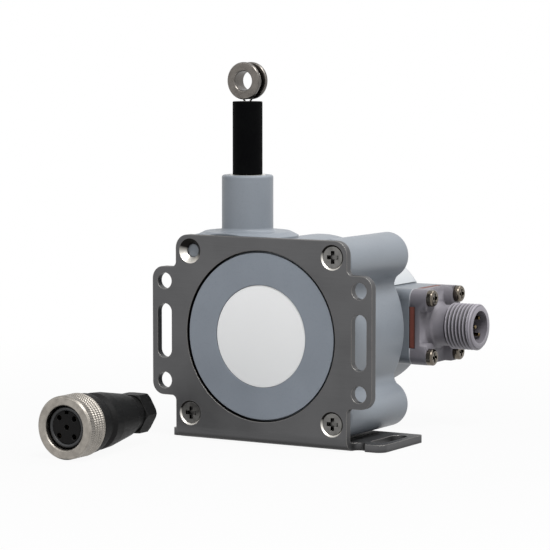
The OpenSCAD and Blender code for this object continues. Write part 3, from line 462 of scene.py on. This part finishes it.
def label_film(name, colour, tint, top, bottom):
    """White polyester film with a satin varnish, greyer towards its lower edge."""
    # It lies nearly flat, with a soft gloss and the faintest orange peel from the
    # adhesive below, and it is drawn greyer towards its lower part.
    material, tree, point = start_material(name)
    peel = add(tree, "ShaderNodeTexNoise", {
        "Scale": per_mm(0.9), "Detail": 2.0, "Roughness": 0.5}, {"Vector": point})
    handled = add(tree, "ShaderNodeTexNoise", {
        "Scale": per_mm(9.0), "Detail": 3.0, "Roughness": 0.55}, {"Vector": point})
    height = add(tree, "ShaderNodeSeparateXYZ", links={"Vector": point}).outputs["Z"]
    normal, _ = rounded_normal(tree, 0.1)
    drop = add(tree, "ShaderNodeMapRange", {
        "From Min": bottom, "From Max": top, "To Min": 1.0, "To Max": 0.0}, {"Value": height})
    patchy = add(tree, "ShaderNodeMath", {"operation": "MULTIPLY_ADD", 1: 0.12}, {
        0: handled.outputs["Fac"], 2: drop.outputs["Result"]})
    finish(tree, layered(tree, colour, tint, patchy.outputs[0]), normal,
           (peel.outputs["Fac"], 0.15, 0.01), (handled.outputs["Fac"], 0.32, 0.42), {"IOR": 1.49})
    return material


def glass_filled_plastic(name, colour):
    """Black polyamide with short glass fibres, as moulded for field plugs."""
    # The fibres leave a faint streaky sheen along the flow on a dull black skin.
    material, tree, point = start_material(name)
    along = add(tree, "ShaderNodeMapping", {"Scale": (1.0, 0.22, 1.0)}, {"Vector": point})
    glass = add(tree, "ShaderNodeTexNoise", {
        "Scale": per_mm(0.45), "Detail": 3.0, "Roughness": 0.65},
        {"Vector": along.outputs["Vector"]})
    flow = add(tree, "ShaderNodeTexNoise", {
        "Scale": per_mm(5.0), "Detail": 2.0, "Roughness": 0.5}, {"Vector": point})
    fibres = glass.outputs["Fac"]
    normal, edge = rounded_normal(tree, 0.25)
    tone = layered(tree, shade(colour, 0.8), shade(colour, 1.3), flow.outputs["Fac"], 0.3, 0.7)
    tone = layered(tree, tone, shade(colour, 4.0), fibres, 0.5, 0.85, 0.0, 0.5)
    tone = layered(tree, tone, linear("#454442"), edge, last=0.5)
    finish(tree, tone, normal, (fibres, 0.35, 0.02), (fibres, 0.42, 0.6),
           {"IOR": 1.53, "Specular IOR Level": 0.1})
    return material


def circuit_laminate():
    """Glass epoxy board under green solder resist."""
    # The resist is glossy, and the copper below it shows as slightly lighter tracks.
    material, tree, point = start_material("glass_epoxy_board")
    tracks = add(tree, "ShaderNodeTexBrick", {
        "Color1": linear("#1f5a38"), "Color2": linear("#256b41"), "Mortar": linear("#174a2d"),
        "Scale": per_mm(2.4), "Mortar Size": 0.03}, {"Vector": point})
    normal, _ = rounded_normal(tree, 0.1)
    shader = add(tree, "ShaderNodeBsdfPrincipled", {"Roughness": 0.3, "IOR": 1.5}, {
        "Base Color": tracks.outputs["Color"], "Normal": normal})
    close_material(tree, shader)
    return material


def pressed_felt():
    """Pale wool felt of the ring that wipes the wire."""
    # Matted fibres make it soft-looking, uneven and quite without gloss.
    material, tree, point = start_material("wool_felt")
    fibres = add(tree, "ShaderNodeTexNoise", {
        "Scale": per_mm(0.25), "Detail": 6.0, "Roughness": 0.75}, {"Vector": point})
    tone = layered(tree, linear("#8f8a80"), linear("#c9c4b8"), fibres.outputs["Fac"], 0.3, 0.7)
    bump = add(tree, "ShaderNodeBump", {"Strength": 0.8, "Distance": 0.08 * MM}, {
        "Height": fibres.outputs["Fac"]})
    shader = add(tree, "ShaderNodeBsdfPrincipled", {
        "Roughness": 0.95, "Sheen Weight": 0.4, "Sheen Roughness": 0.5}, {
        "Base Color": tone, "Normal": bump.outputs["Normal"]})
    close_material(tree, shader)
    return material


# ---------------------------------------------------------------- geometry helpers


def cad_node(name):
    """The CAD object of this name, or an error that an operator can raise."""
    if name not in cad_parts:
        raise RuntimeError(f"the packed model has no node {name}")
    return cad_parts[name]


def dress(material, *names):
    """Gives CAD nodes one material."""
    for name in names:
        mesh_object = cad_node(name)
        mesh_object.data.materials.clear()
        mesh_object.data.materials.append(material)


def new_piece(name, body, bm, material, smooth_angle=35.0):
    """Turns a finished bmesh into a piece that rides on a CAD body."""
    mesh = bpy.data.meshes.new(name)
    bm.to_mesh(mesh)
    bm.free()
    mesh.materials.append(material)
    piece = bpy.data.objects.new(name, mesh)
    bpy.context.scene.collection.objects.link(piece)
    mesh.shade_smooth()
    mesh.set_sharp_from_angle(angle=math.radians(smooth_angle))
    if body:
        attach(piece, body)
    return piece


def ring_of_edges(bm, points):
    """A closed loop of edges through these points."""
    verts = [bm.verts.new(point) for point in points]
    edges = [bm.edges.new((a, b)) for a, b in zip(verts, verts[1:] + verts[:1])]
    return verts, edges


def close_ends(bm):
    """Caps the open ends of a swept loop and turns all faces outwards."""
    rims = [edge for edge in bm.edges if edge.is_boundary]
    bmesh.ops.holes_fill(bm, edges=rims, sides=0)
    bmesh.ops.recalc_face_normals(bm, faces=bm.faces[:])


def helical_ridge(profile, centre, axis, pitch, turns, steps_per_turn):
    """Sweeps a closed profile along a helix about an axis, as a thread runs."""
    bm = bmesh.new()
    verts, edges = ring_of_edges(bm, profile)
    steps = round(turns * steps_per_turn)
    bmesh.ops.spin(
        bm, geom=verts + edges, cent=centre, axis=axis, dvec=axis * (pitch * turns / steps),
        angle=2.0 * math.pi * turns, steps=steps, use_merge=False, use_duplicate=False)
    close_ends(bm)
    return bm


def threaded_skin(sizes, start, end, neck):
    """The open skin of an M12x1 thread along X, with a chamfered start and a plain end."""
    pitch, root = sizes.thread_pitch, sizes.thread_root
    depth = sizes.thread_crest - root
    # The sweep starts a little more than a turn early and ends a turn late, so that both
    # of its ragged ends are cut off square
    early, late = 1.01, 1.09
    bm = bmesh.new()
    verts = [
        bm.verts.new(THREAD_AXIS + Vector((start + (x - early) * pitch, 0.0, root + r * depth)))
        for x, r in THREAD_FORM
    ]
    edges = [bm.edges.new(pair) for pair in zip(verts, verts[1:])]
    steps = math.ceil(((end - start) / pitch + early + late) * THREAD_STEPS)
    axis = Vector((1.0, 0.0, 0.0))
    bmesh.ops.spin(
        bm, geom=verts + edges, cent=THREAD_AXIS, axis=axis, dvec=axis * (pitch / THREAD_STEPS),
        angle=2.0 * math.pi * steps / THREAD_STEPS, steps=steps, use_merge=False,
        use_duplicate=False)
    bmesh.ops.remove_doubles(bm, verts=bm.verts[:], dist=0.002 * MM)
    for place, way in ((start, -1.0), (end, 1.0)):
        bmesh.ops.bisect_plane(
            bm, geom=bm.verts[:] + bm.edges[:] + bm.faces[:], dist=0.0,
            plane_co=(place, 0.0, 0.0), plane_no=(way, 0.0, 0.0), clear_outer=True)
    # Two cones take the thread down to the neck at its start and up to the plain tip
    slope = 1.3
    for vert in bm.verts:
        arm = Vector((0.0, vert.co.y - THREAD_AXIS.y, vert.co.z - THREAD_AXIS.z))
        most = neck + slope * max(0.0, vert.co.x - start)
        least = sizes.thread_crest - slope * max(0.0, end - vert.co.x)
        vert.co += arm.normalized() * (min(max(arm.length, least), most) - arm.length)
    return bm


def rims_at(bm, low, high):
    """The open edges that lie between two places along X."""
    return [edge for edge in bm.edges if edge.is_boundary
            and all(low < vert.co.x < high for vert in edge.verts)]


# ---------------------------------------------------------------- operators


class DRAWWIRE_OT_bracket(Operator):
    """Finishes the folded bracket and the screws that hold it"""

    bl_idname = "drawwire.bracket"
    bl_label = "Finish the bracket"

    def execute(self, context):
        colours = context.scene.drawwire_colours
        dress(satin_stainless(tuple(colours.bracket)), "mounting_bracket")
        screws = turned_metal("stainless_countersunk_screws", linear("#6c6b69"),
                              roughness=0.34, ring_mm=0.3, axis=1, edge_mm=0.1,
                              edge_highlight="#8d8b88", shade_reach_mm=1.3)
        dress(screws, "bracket_screws", "rear_cap_screws")
        return {"FINISHED"}


class DRAWWIRE_OT_housing(Operator):
    """Finishes the moulded housing, its round front cover and its rear cap"""

    bl_idname = "drawwire.housing"
    bl_label = "Finish the housing"

    def execute(self, context):
        colours = context.scene.drawwire_colours
        # Real spark-eroded grain is about 0.1 mm; it is drawn coarser so that it shows.
        housing, cover = tuple(colours.housing), tuple(colours.cover)
        # The rear cap's plastic is the housing's darkened, as painted shade for its underside
        for node, name, colour, edge_mm in (
                ("main_housing", "blue_grey_moulded_housing", housing, 0.35),
                ("front_cover", "blue_grey_moulded_cover", cover, 0.2),
                ("rear_cap", "blue_grey_moulded_cap", shade(housing, 0.84), 0.3)):
            dress(moulded_plastic(name, colour, 0.5, edge_mm), node)
        return {"FINISHED"}


class DRAWWIRE_OT_labels(Operator):
    """Finishes the two bare labels"""

    bl_idname = "drawwire.labels"
    bl_label = "Finish the labels"

    def execute(self, context):
        white = tuple(context.scene.drawwire_colours.label)
        low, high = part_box("front_label")
        dress(label_film("satin_polyester_label", white, linear("#e6e7e7"), high.z, low.z),
              "front_label")
        low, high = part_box("rear_label")
        dress(label_film("satin_polyester_plate", shade(white, 0.68), linear("#bbbfc2"),
                         high.z, low.z), "rear_label")
        return {"FINISHED"}


class DRAWWIRE_OT_connector(Operator):
    """Finishes the M12 connector and cuts its thread"""

    bl_idname = "drawwire.connector"
    bl_label = "Finish the connector"

    def execute(self, context):
        sizes = context.scene.drawwire_sizes
        colours = context.scene.drawwire_colours
        plastic = moulded_plastic(
            "violet_grey_moulded_connector", tuple(colours.connector), grain_mm=0.45,
            edge_mm=0.22, roughness=0.42, edge_wear_and_highlight=1.35, shade_reach_mm=0.7, painted_light=connector_painted_light)
        rubber = moulded_rubber(
            "red_brown_gasket_rubber", tuple(colours.gasket), roughness=0.6, grain_mm=0.5,
            bloom=shade(tuple(colours.gasket), 1.25), painted_light=shaded_lips)
        dress(rubber, "connector_gasket")
        screws = turned_metal(
            "dark_nickel_pan_screws", linear("#6b645b"), roughness=0.2, ring_mm=0.3, axis=0,
            edge_mm=0.2, edge_highlight="#cdc4b4", shade_reach_mm=1.0)
        dress(screws, "connector_screws")
        carrier = moulded_plastic(
            "brown_contact_carrier", linear("#4a3d3a"), grain_mm=0.4, edge_mm=0.15,
            roughness=0.5, edge_wear_and_highlight=1.2)
        dress(carrier, "contact_carrier")
        # The gold is drawn dark, as painted shade in the connector's cavity, with painted glints
        # on its edges
        gold = turned_metal(
            "gold_plated_contacts", linear("#6e6046"), roughness=0.2, ring_mm=0.2, axis=0,
            edge_mm=0.08, edge_highlight="#f4eedf", shade_reach_mm=1.5)
        dress(gold, "contact_pins")

        # The cover keeps its shape, but the nose's plain skin gives way to a real thread.
        # The skin is cut away between two planes, and rings of faces join the thread there.
        bm = bmesh.new()
        bm.from_mesh(cad_node("connector_cover").data)
        bmesh.ops.remove_doubles(bm, verts=bm.verts[:], dist=0.001 * MM)
        for place in (THREAD_START, THREAD_END):
            bmesh.ops.bisect_plane(
                bm, geom=bm.verts[:] + bm.edges[:] + bm.faces[:], dist=0.0,
                plane_co=(place, 0.0, 0.0), plane_no=(1.0, 0.0, 0.0))
        inner = 0.94 * NECK_RADIUS
        skin = []
        for face in bm.faces:
            middle = face.calc_center_median()
            arm = Vector((0.0, middle.y - THREAD_AXIS.y, middle.z - THREAD_AXIS.z)).length
            if THREAD_START < middle.x < THREAD_END and arm > inner:
                skin.append(face)
        bmesh.ops.delete(bm, geom=skin, context="FACES")
        gap = 0.08 * MM
        turned = threaded_skin(sizes, THREAD_START + gap, THREAD_END - gap, NECK_RADIUS)
        part = bpy.data.meshes.new("thread_part")
        turned.to_mesh(part)
        turned.free()
        bm.from_mesh(part)
        bpy.data.meshes.remove(part)
        for place in (THREAD_START, THREAD_END):
            rims = rims_at(bm, place - 1.5 * gap, place + 1.5 * gap)
            bmesh.ops.bridge_loops(bm, edges=rims)
        bmesh.ops.recalc_face_normals(bm, faces=bm.faces[:])
        cover = new_piece("threaded_connector_cover", "encoder", bm, plastic)
        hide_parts("connector_cover")
        return {"FINISHED"}


class DRAWWIRE_OT_wire(Operator):
    """Makes the stranded measuring wire, and finishes its stop and eyelet"""

    bl_idname = "drawwire.wire"
    bl_label = "Make the measuring wire"

    def execute(self, context):
        sizes = context.scene.drawwire_sizes
        colours = context.scene.drawwire_colours
        steel = turned_metal(
            "bright_drawn_wire", linear("#85837f"), roughness=0.28, ring_mm=0.2, axis=2,
            edge_mm=0.06, edge_highlight="#e6e4df")
        dress(steel, "wound_wire", "wire_loop")
        eyelet = turned_metal(
            "nickel_plated_eyelet", linear("#625e5a"), roughness=0.3, ring_mm=0.25, axis=1,
            edge_mm=0.18, edge_highlight="#c9c6c0", shade_reach_mm=1.2)
        dress(eyelet, "wire_eyelet")
        ferrule = turned_metal(
            "tin_plated_ferrule", linear("#8b8984"), roughness=0.36, ring_mm=0.3, axis=2,
            edge_mm=0.15)
        dress(ferrule, "crimp_ferrule")
        rubber = moulded_rubber(
            "black_stop_rubber", tuple(colours.sleeve), roughness=0.7, grain_mm=0.6,
            bloom=linear("#060707"), shine=0.03)
        dress(rubber, "stop_sleeve")

        # The outer strands lie round a core of the same thickness, twisted along the wire
        low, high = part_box("free_wire")
        start = Vector((WIRE_AXIS.x, WIRE_AXIS.y, low.z))
        strand = sizes.wire_radius / 3.0
        profile = []
        for lobe in range(WIRE_STRANDS):
            middle = math.radians(360.0 / WIRE_STRANDS * lobe)
            hub = Vector((math.cos(middle), math.sin(middle), 0.0)) * (2.0 * strand)
            for part in range(STRAND_POINTS):
                share = 2.0 * part / (STRAND_POINTS - 1) - 1.0
                turn = middle + math.radians(STRAND_HALF_ARC * share)
                rim = Vector((math.cos(turn), math.sin(turn), 0.0)) * strand
                profile.append(start + hub + rim)
        bm = helical_ridge(profile, WIRE_AXIS, Vector((0.0, 0.0, 1.0)), sizes.wire_lay,
                           (high.z - low.z) / sizes.wire_lay, WIRE_STEPS)
        wire = new_piece("measuring_wire", None, bm, steel, 60.0)
        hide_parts("free_wire")
        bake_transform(wire)
        return {"FINISHED"}


class DRAWWIRE_OT_works(Operator):
    """Finishes the drum, spring, bearings and electronics inside the housing"""

    bl_idname = "drawwire.works"
    bl_label = "Finish the inner works"

    def execute(self, context):
        black = moulded_rubber("black_seal_rubber", linear("#101113"), roughness=0.5,
                               grain_mm=0.4, bloom=linear("#1b1c1e"))
        dress(black, "front_cover_seal", "rear_cap_seal")
        # Turned parts: name, colour, roughness, spacing of the tool rings and nodes
        for name, colour, roughness, ring_mm, nodes in (
                ("chrome_bearing_steel", "#a19f9b", 0.22, 0.3, ("front_bearing", "rear_bearing")),
                ("ground_shaft_steel", "#93918d", 0.26, 0.3,
                 ("drum_shaft", "shaft_clips", "spring_arbor")),
                ("anodised_drum_aluminium", "#a9acb0", 0.4, 0.3, ("wire_drum", "code_disc_hub")),
                ("blue_tempered_spring_steel", "#4c5260", 0.3, 0.3, ("power_spring",)),
                ("zinc_plated_cup", "#8f949a", 0.38, 0.4,
                 ("spring_cup", "spring_cup_lid", "board_screws")),
                ("etched_code_disc", "#b8b9ba", 0.18, 0.5, ("code_disc",))):
            dress(turned_metal(name, linear(colour), roughness, ring_mm, axis=1), *nodes)
        # Moulded parts: name, colour, grain, rounding of the edges, roughness and node
        for name, colour, grain_mm, edge_mm, roughness, node in (
                ("sintered_guide_ceramic", "#e2ded2", 0.3, 0.15, 0.25, "guide_bush"),
                ("black_sensor_package", "#17181a", 0.3, 0.15, 0.38, "optical_sensor"),
                ("ivory_header_plastic", "#d8d2bf", 0.3, 0.15, 0.38, "board_header"),
                ("red_lead_insulation", "#8e2a24", 0.6, 0.1, 0.4, "wire_harness")):
            dress(moulded_plastic(name, linear(colour), grain_mm, edge_mm, roughness), node)
        dress(pressed_felt(), "wire_wiper")
        dress(circuit_laminate(), "encoder_board")
        return {"FINISHED"}


class DRAWWIRE_OT_plug(Operator):
    """Makes the plug's knurled coupling nut and finishes the loose plug"""

    bl_idname = "drawwire.plug"
    bl_label = "Make the field plug"

    def execute(self, context):
        sizes = context.scene.drawwire_sizes
        colours = context.scene.drawwire_colours
        nickel = turned_metal("nickel_plated_brass_nut", tuple(colours.nut), roughness=0.4,
                              ring_mm=0.3, axis=1, edge_mm=0.14, edge_highlight="#dedad2")
        black = glass_filled_plastic("black_glass_filled_plug", tuple(colours.plug))
        dress(black, "plug_body", "plug_gland_nut", "plug_clamp_ring")
        dress(glass_filled_plastic("dark_contact_insert", linear("#0b0a0a")), "plug_insert")
        sockets = turned_metal("gold_plated_sockets", linear("#4a3d28"), roughness=0.3,
                               ring_mm=0.2, axis=1, edge_mm=0.08, edge_highlight="#6b5a3c",
                               shade_reach_mm=1.5)
        dress(sockets, "plug_sockets")
        seal = moulded_rubber("black_seal_ring_rubber", linear("#131416"), roughness=0.5,
                              grain_mm=0.4, bloom=linear("#202123"))
        dress(seal, "plug_seal_ring")

        # The nut's section: how far behind the mouth, and how far from the axis, from the
        # mouth round the outside to the back
        radius, length, corner = sizes.nut_radius, 6.8 * MM, 0.4 * MM
        mouth, bore, back_bore = 5.7 * MM, 5.45 * MM, 4.95 * MM
        land_end, bore_end, groove = 1.75 * MM, 5.6 * MM, 0.297 * MM
        section = [(0.0, mouth), (0.0, radius - corner), (corner, radius), (land_end, radius)]
        for index in range(4):
            middle = (2.4 + 1.05 * index) * MM
            section += [(middle - groove, radius), (middle, radius - groove),
                        (middle + groove, radius)]
        section += [(length - corner, radius), (length, radius - corner), (length, back_bore),
                    (bore_end, back_bore), (bore_end, bore), (mouth - bore, bore)]
        axis = Vector((0.0, 1.0, 0.0))
        bm = bmesh.new()
        verts, edges = ring_of_edges(
            bm, [PLUG_AXIS + Vector((0.0, y, r)) for y, r in section])
        bmesh.ops.spin(bm, geom=verts + edges, cent=PLUG_AXIS, axis=axis, dvec=Vector(),
                       angle=2.0 * math.pi, steps=2 * sizes.knurl_teeth, use_merge=True,
                       use_duplicate=False)
        # Every second row of points between the corners is pressed in, which makes the knurl
        for vert in bm.verts:
            arm = vert.co - PLUG_AXIS
            out = Vector((arm.x, 0.0, arm.z))
            step = round(math.atan2(out.x, out.z) / (math.pi / sizes.knurl_teeth))
            on_rim = out.length > radius - 0.01 * MM
            if step % 2 and on_rim and 1.6 * MM < arm.y < 6.3 * MM:
                vert.co -= out.normalized() * sizes.knurl_depth
        bmesh.ops.recalc_face_normals(bm, faces=bm.faces[:])
        nut = new_piece("coupling_nut", "plug_nut", bm, nickel, 20.0)
        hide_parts("plug_coupling_nut")
        return {"FINISHED"}


class DRAWWIRE_OT_stage(Operator):
    """Sets up the white floor, the lamps and the camera"""

    bl_idname = "drawwire.stage"
    bl_label = "Set the stage"

    def execute(self, context):
        studio = context.scene.drawwire_studio
        scene = context.scene
        scene.view_settings.view_transform = "Standard"

        bm = bmesh.new()
        bmesh.ops.create_grid(bm, x_segments=1, y_segments=1, size=FLOOR_SIZE)
        bmesh.ops.translate(bm, vec=Vector((0.0, 0.0, -FLOOR_DROP)), verts=bm.verts)
        mesh = bpy.data.meshes.new("studio_floor")
        bm.to_mesh(mesh)
        bm.free()
        floor = bpy.data.objects.new("studio_floor", mesh)
        scene.collection.objects.link(floor)
        mesh.materials.append(self.paper())
        self.surroundings(scene, studio.sky)
        for name, (place, size) in LAMPS.items():
            self.lamp(f"{name}_lamp", place, size, getattr(studio, name))

        camera = bpy.data.cameras.new("product_camera")
        camera.sensor_width = 36.0
        camera.lens = CAMERA_LENS
        camera.clip_start, camera.clip_end = 0.01, 20.0
        holder = bpy.data.objects.new("product_camera", camera)
        scene.collection.objects.link(holder)
        self.aim(holder, CAMERA_PLACE, CAMERA_TARGET)
        scene.camera = holder
        return {"FINISHED"}

    @staticmethod
    def paper():
        """White studio paper, fully white from 0.24 m on, with a shadow near the object."""
        material, tree, point = start_material("white_studio_paper")
        fibres = add(tree, "ShaderNodeTexNoise", {"Scale": per_mm(40.0), "Detail": 2.0},
                     {"Vector": point})
        tone = layered(tree, linear("#b0b0b0"), linear("#b6b6b6"), fibres.outputs["Fac"])
        matt = add(tree, "ShaderNodeBsdfDiffuse", links={"Color": tone})
        glow = add(tree, "ShaderNodeEmission", {"Color": (1.0, 1.0, 1.0), "Strength": 1.0})
        seen = DRAWWIRE_OT_stage.seen(tree)
        reach = add(tree, "ShaderNodeVectorMath", {"operation": "LENGTH"}, {0: point})
        far = add(tree, "ShaderNodeMapRange", {
            "From Min": 0.07, "From Max": 0.24, "To Min": 0.94, "To Max": 1.0}, {
            "Value": reach.outputs["Value"]})
        share = add(tree, "ShaderNodeMath", {"operation": "MULTIPLY"}, {
            0: seen, 1: far.outputs["Result"]})
        both = add(tree, "ShaderNodeMixShader", links={
            0: share.outputs[0], 1: matt.outputs[0], 2: glow.outputs[0]})
        close_material(tree, both)
        return material

    @staticmethod
    def seen(tree):
        """1 for rays that show the background: from the camera, gloss or glass."""
        path = add(tree, "ShaderNodeLightPath")
        first = add(tree, "ShaderNodeMath", {"operation": "MAXIMUM"}, {
            0: path.outputs["Is Camera Ray"], 1: path.outputs["Is Glossy Ray"]})
        return add(tree, "ShaderNodeMath", {"operation": "MAXIMUM"}, {
            0: first.outputs[0], 1: path.outputs["Is Transmission Ray"]}).outputs[0]

    @staticmethod
    def surroundings(scene, level):
        """Even light from all sides, with white where the background shows."""
        world = bpy.data.worlds.new("white_surroundings")
        scene.world = world
        world.use_nodes = True
        tree = world.node_tree
        tree.nodes.clear()
        soft = add(tree, "ShaderNodeBackground", {"Color": linear("#f4f7fb"), "Strength": level})
        white = add(tree, "ShaderNodeBackground", {"Color": (1.0, 1.0, 1.0), "Strength": 1.0})
        both = add(tree, "ShaderNodeMixShader", links={
            0: DRAWWIRE_OT_stage.seen(tree), 1: soft.outputs[0], 2: white.outputs[0]})
        add(tree, "ShaderNodeOutputWorld", links={"Surface": both.outputs[0]})

    @staticmethod
    def aim(holder, place, target):
        """Puts a lamp or camera at a place and turns it to a target."""
        holder.location = place
        holder.rotation_mode = "QUATERNION"
        holder.rotation_quaternion = (target - place).to_track_quat("-Z", "Y")

    @staticmethod
    def lamp(name, place, size, power):
        """One square soft lamp that looks at the encoder."""
        data = bpy.data.lights.new(name, "AREA")
        data.shape = "SQUARE"
        data.size = size
        data.energy = power
        holder = bpy.data.objects.new(name, data)
        bpy.context.scene.collection.objects.link(holder)
        DRAWWIRE_OT_stage.aim(holder, Vector(place), LAMP_TARGET)


class DRAWWIRE_PT_panel(Panel):
    """Lists the steps and their settings in the sidebar"""

    bl_label = "Draw wire encoder"
    bl_idname = "DRAWWIRE_PT_panel"
    bl_space_type = "VIEW_3D"
    bl_region_type = "UI"
    bl_category = "Draw wire"

    def draw(self, context):
        for group in ("drawwire_sizes", "drawwire_colours", "drawwire_studio"):
            box = self.layout.box()
            settings = getattr(context.scene, group)
            for name in settings.bl_rna.properties.keys():
                if name not in ("rna_type", "name"):
                    box.prop(settings, name)
        for operator in STEPS:
            self.layout.operator(operator.bl_idname)


GROUPS = {
    "drawwire_sizes": DRAWWIRE_PG_sizes,
    "drawwire_colours": DRAWWIRE_PG_colours,
    "drawwire_studio": DRAWWIRE_PG_studio,
}
STEPS = (
    DRAWWIRE_OT_bracket,
    DRAWWIRE_OT_housing,
    DRAWWIRE_OT_labels,
    DRAWWIRE_OT_connector,
    DRAWWIRE_OT_wire,
    DRAWWIRE_OT_works,
    DRAWWIRE_OT_plug,
    DRAWWIRE_OT_stage,
)


def register():
    for group in GROUPS.values():
        bpy.utils.register_class(group)
    for step in STEPS:
        bpy.utils.register_class(step)
    bpy.utils.register_class(DRAWWIRE_PT_panel)
    for name, group in GROUPS.items():
        setattr(bpy.types.Scene, name, PointerProperty(type=group))


def unregister():
    for name in GROUPS:
        delattr(bpy.types.Scene, name)
    bpy.utils.unregister_class(DRAWWIRE_PT_panel)
    for step in reversed(STEPS):
        bpy.utils.unregister_class(step)
    for group in reversed(list(GROUPS.values())):
        bpy.utils.unregister_class(group)


def main():
    """Builds everything in order."""
    register()
    bpy.ops.drawwire.bracket()
    bpy.ops.drawwire.housing()
    bpy.ops.drawwire.labels()
    bpy.ops.drawwire.connector()
    bpy.ops.drawwire.wire()
    bpy.ops.drawwire.works()
    bpy.ops.drawwire.plug()
    bpy.ops.drawwire.stage()


if __name__ == "__main__":
    main()
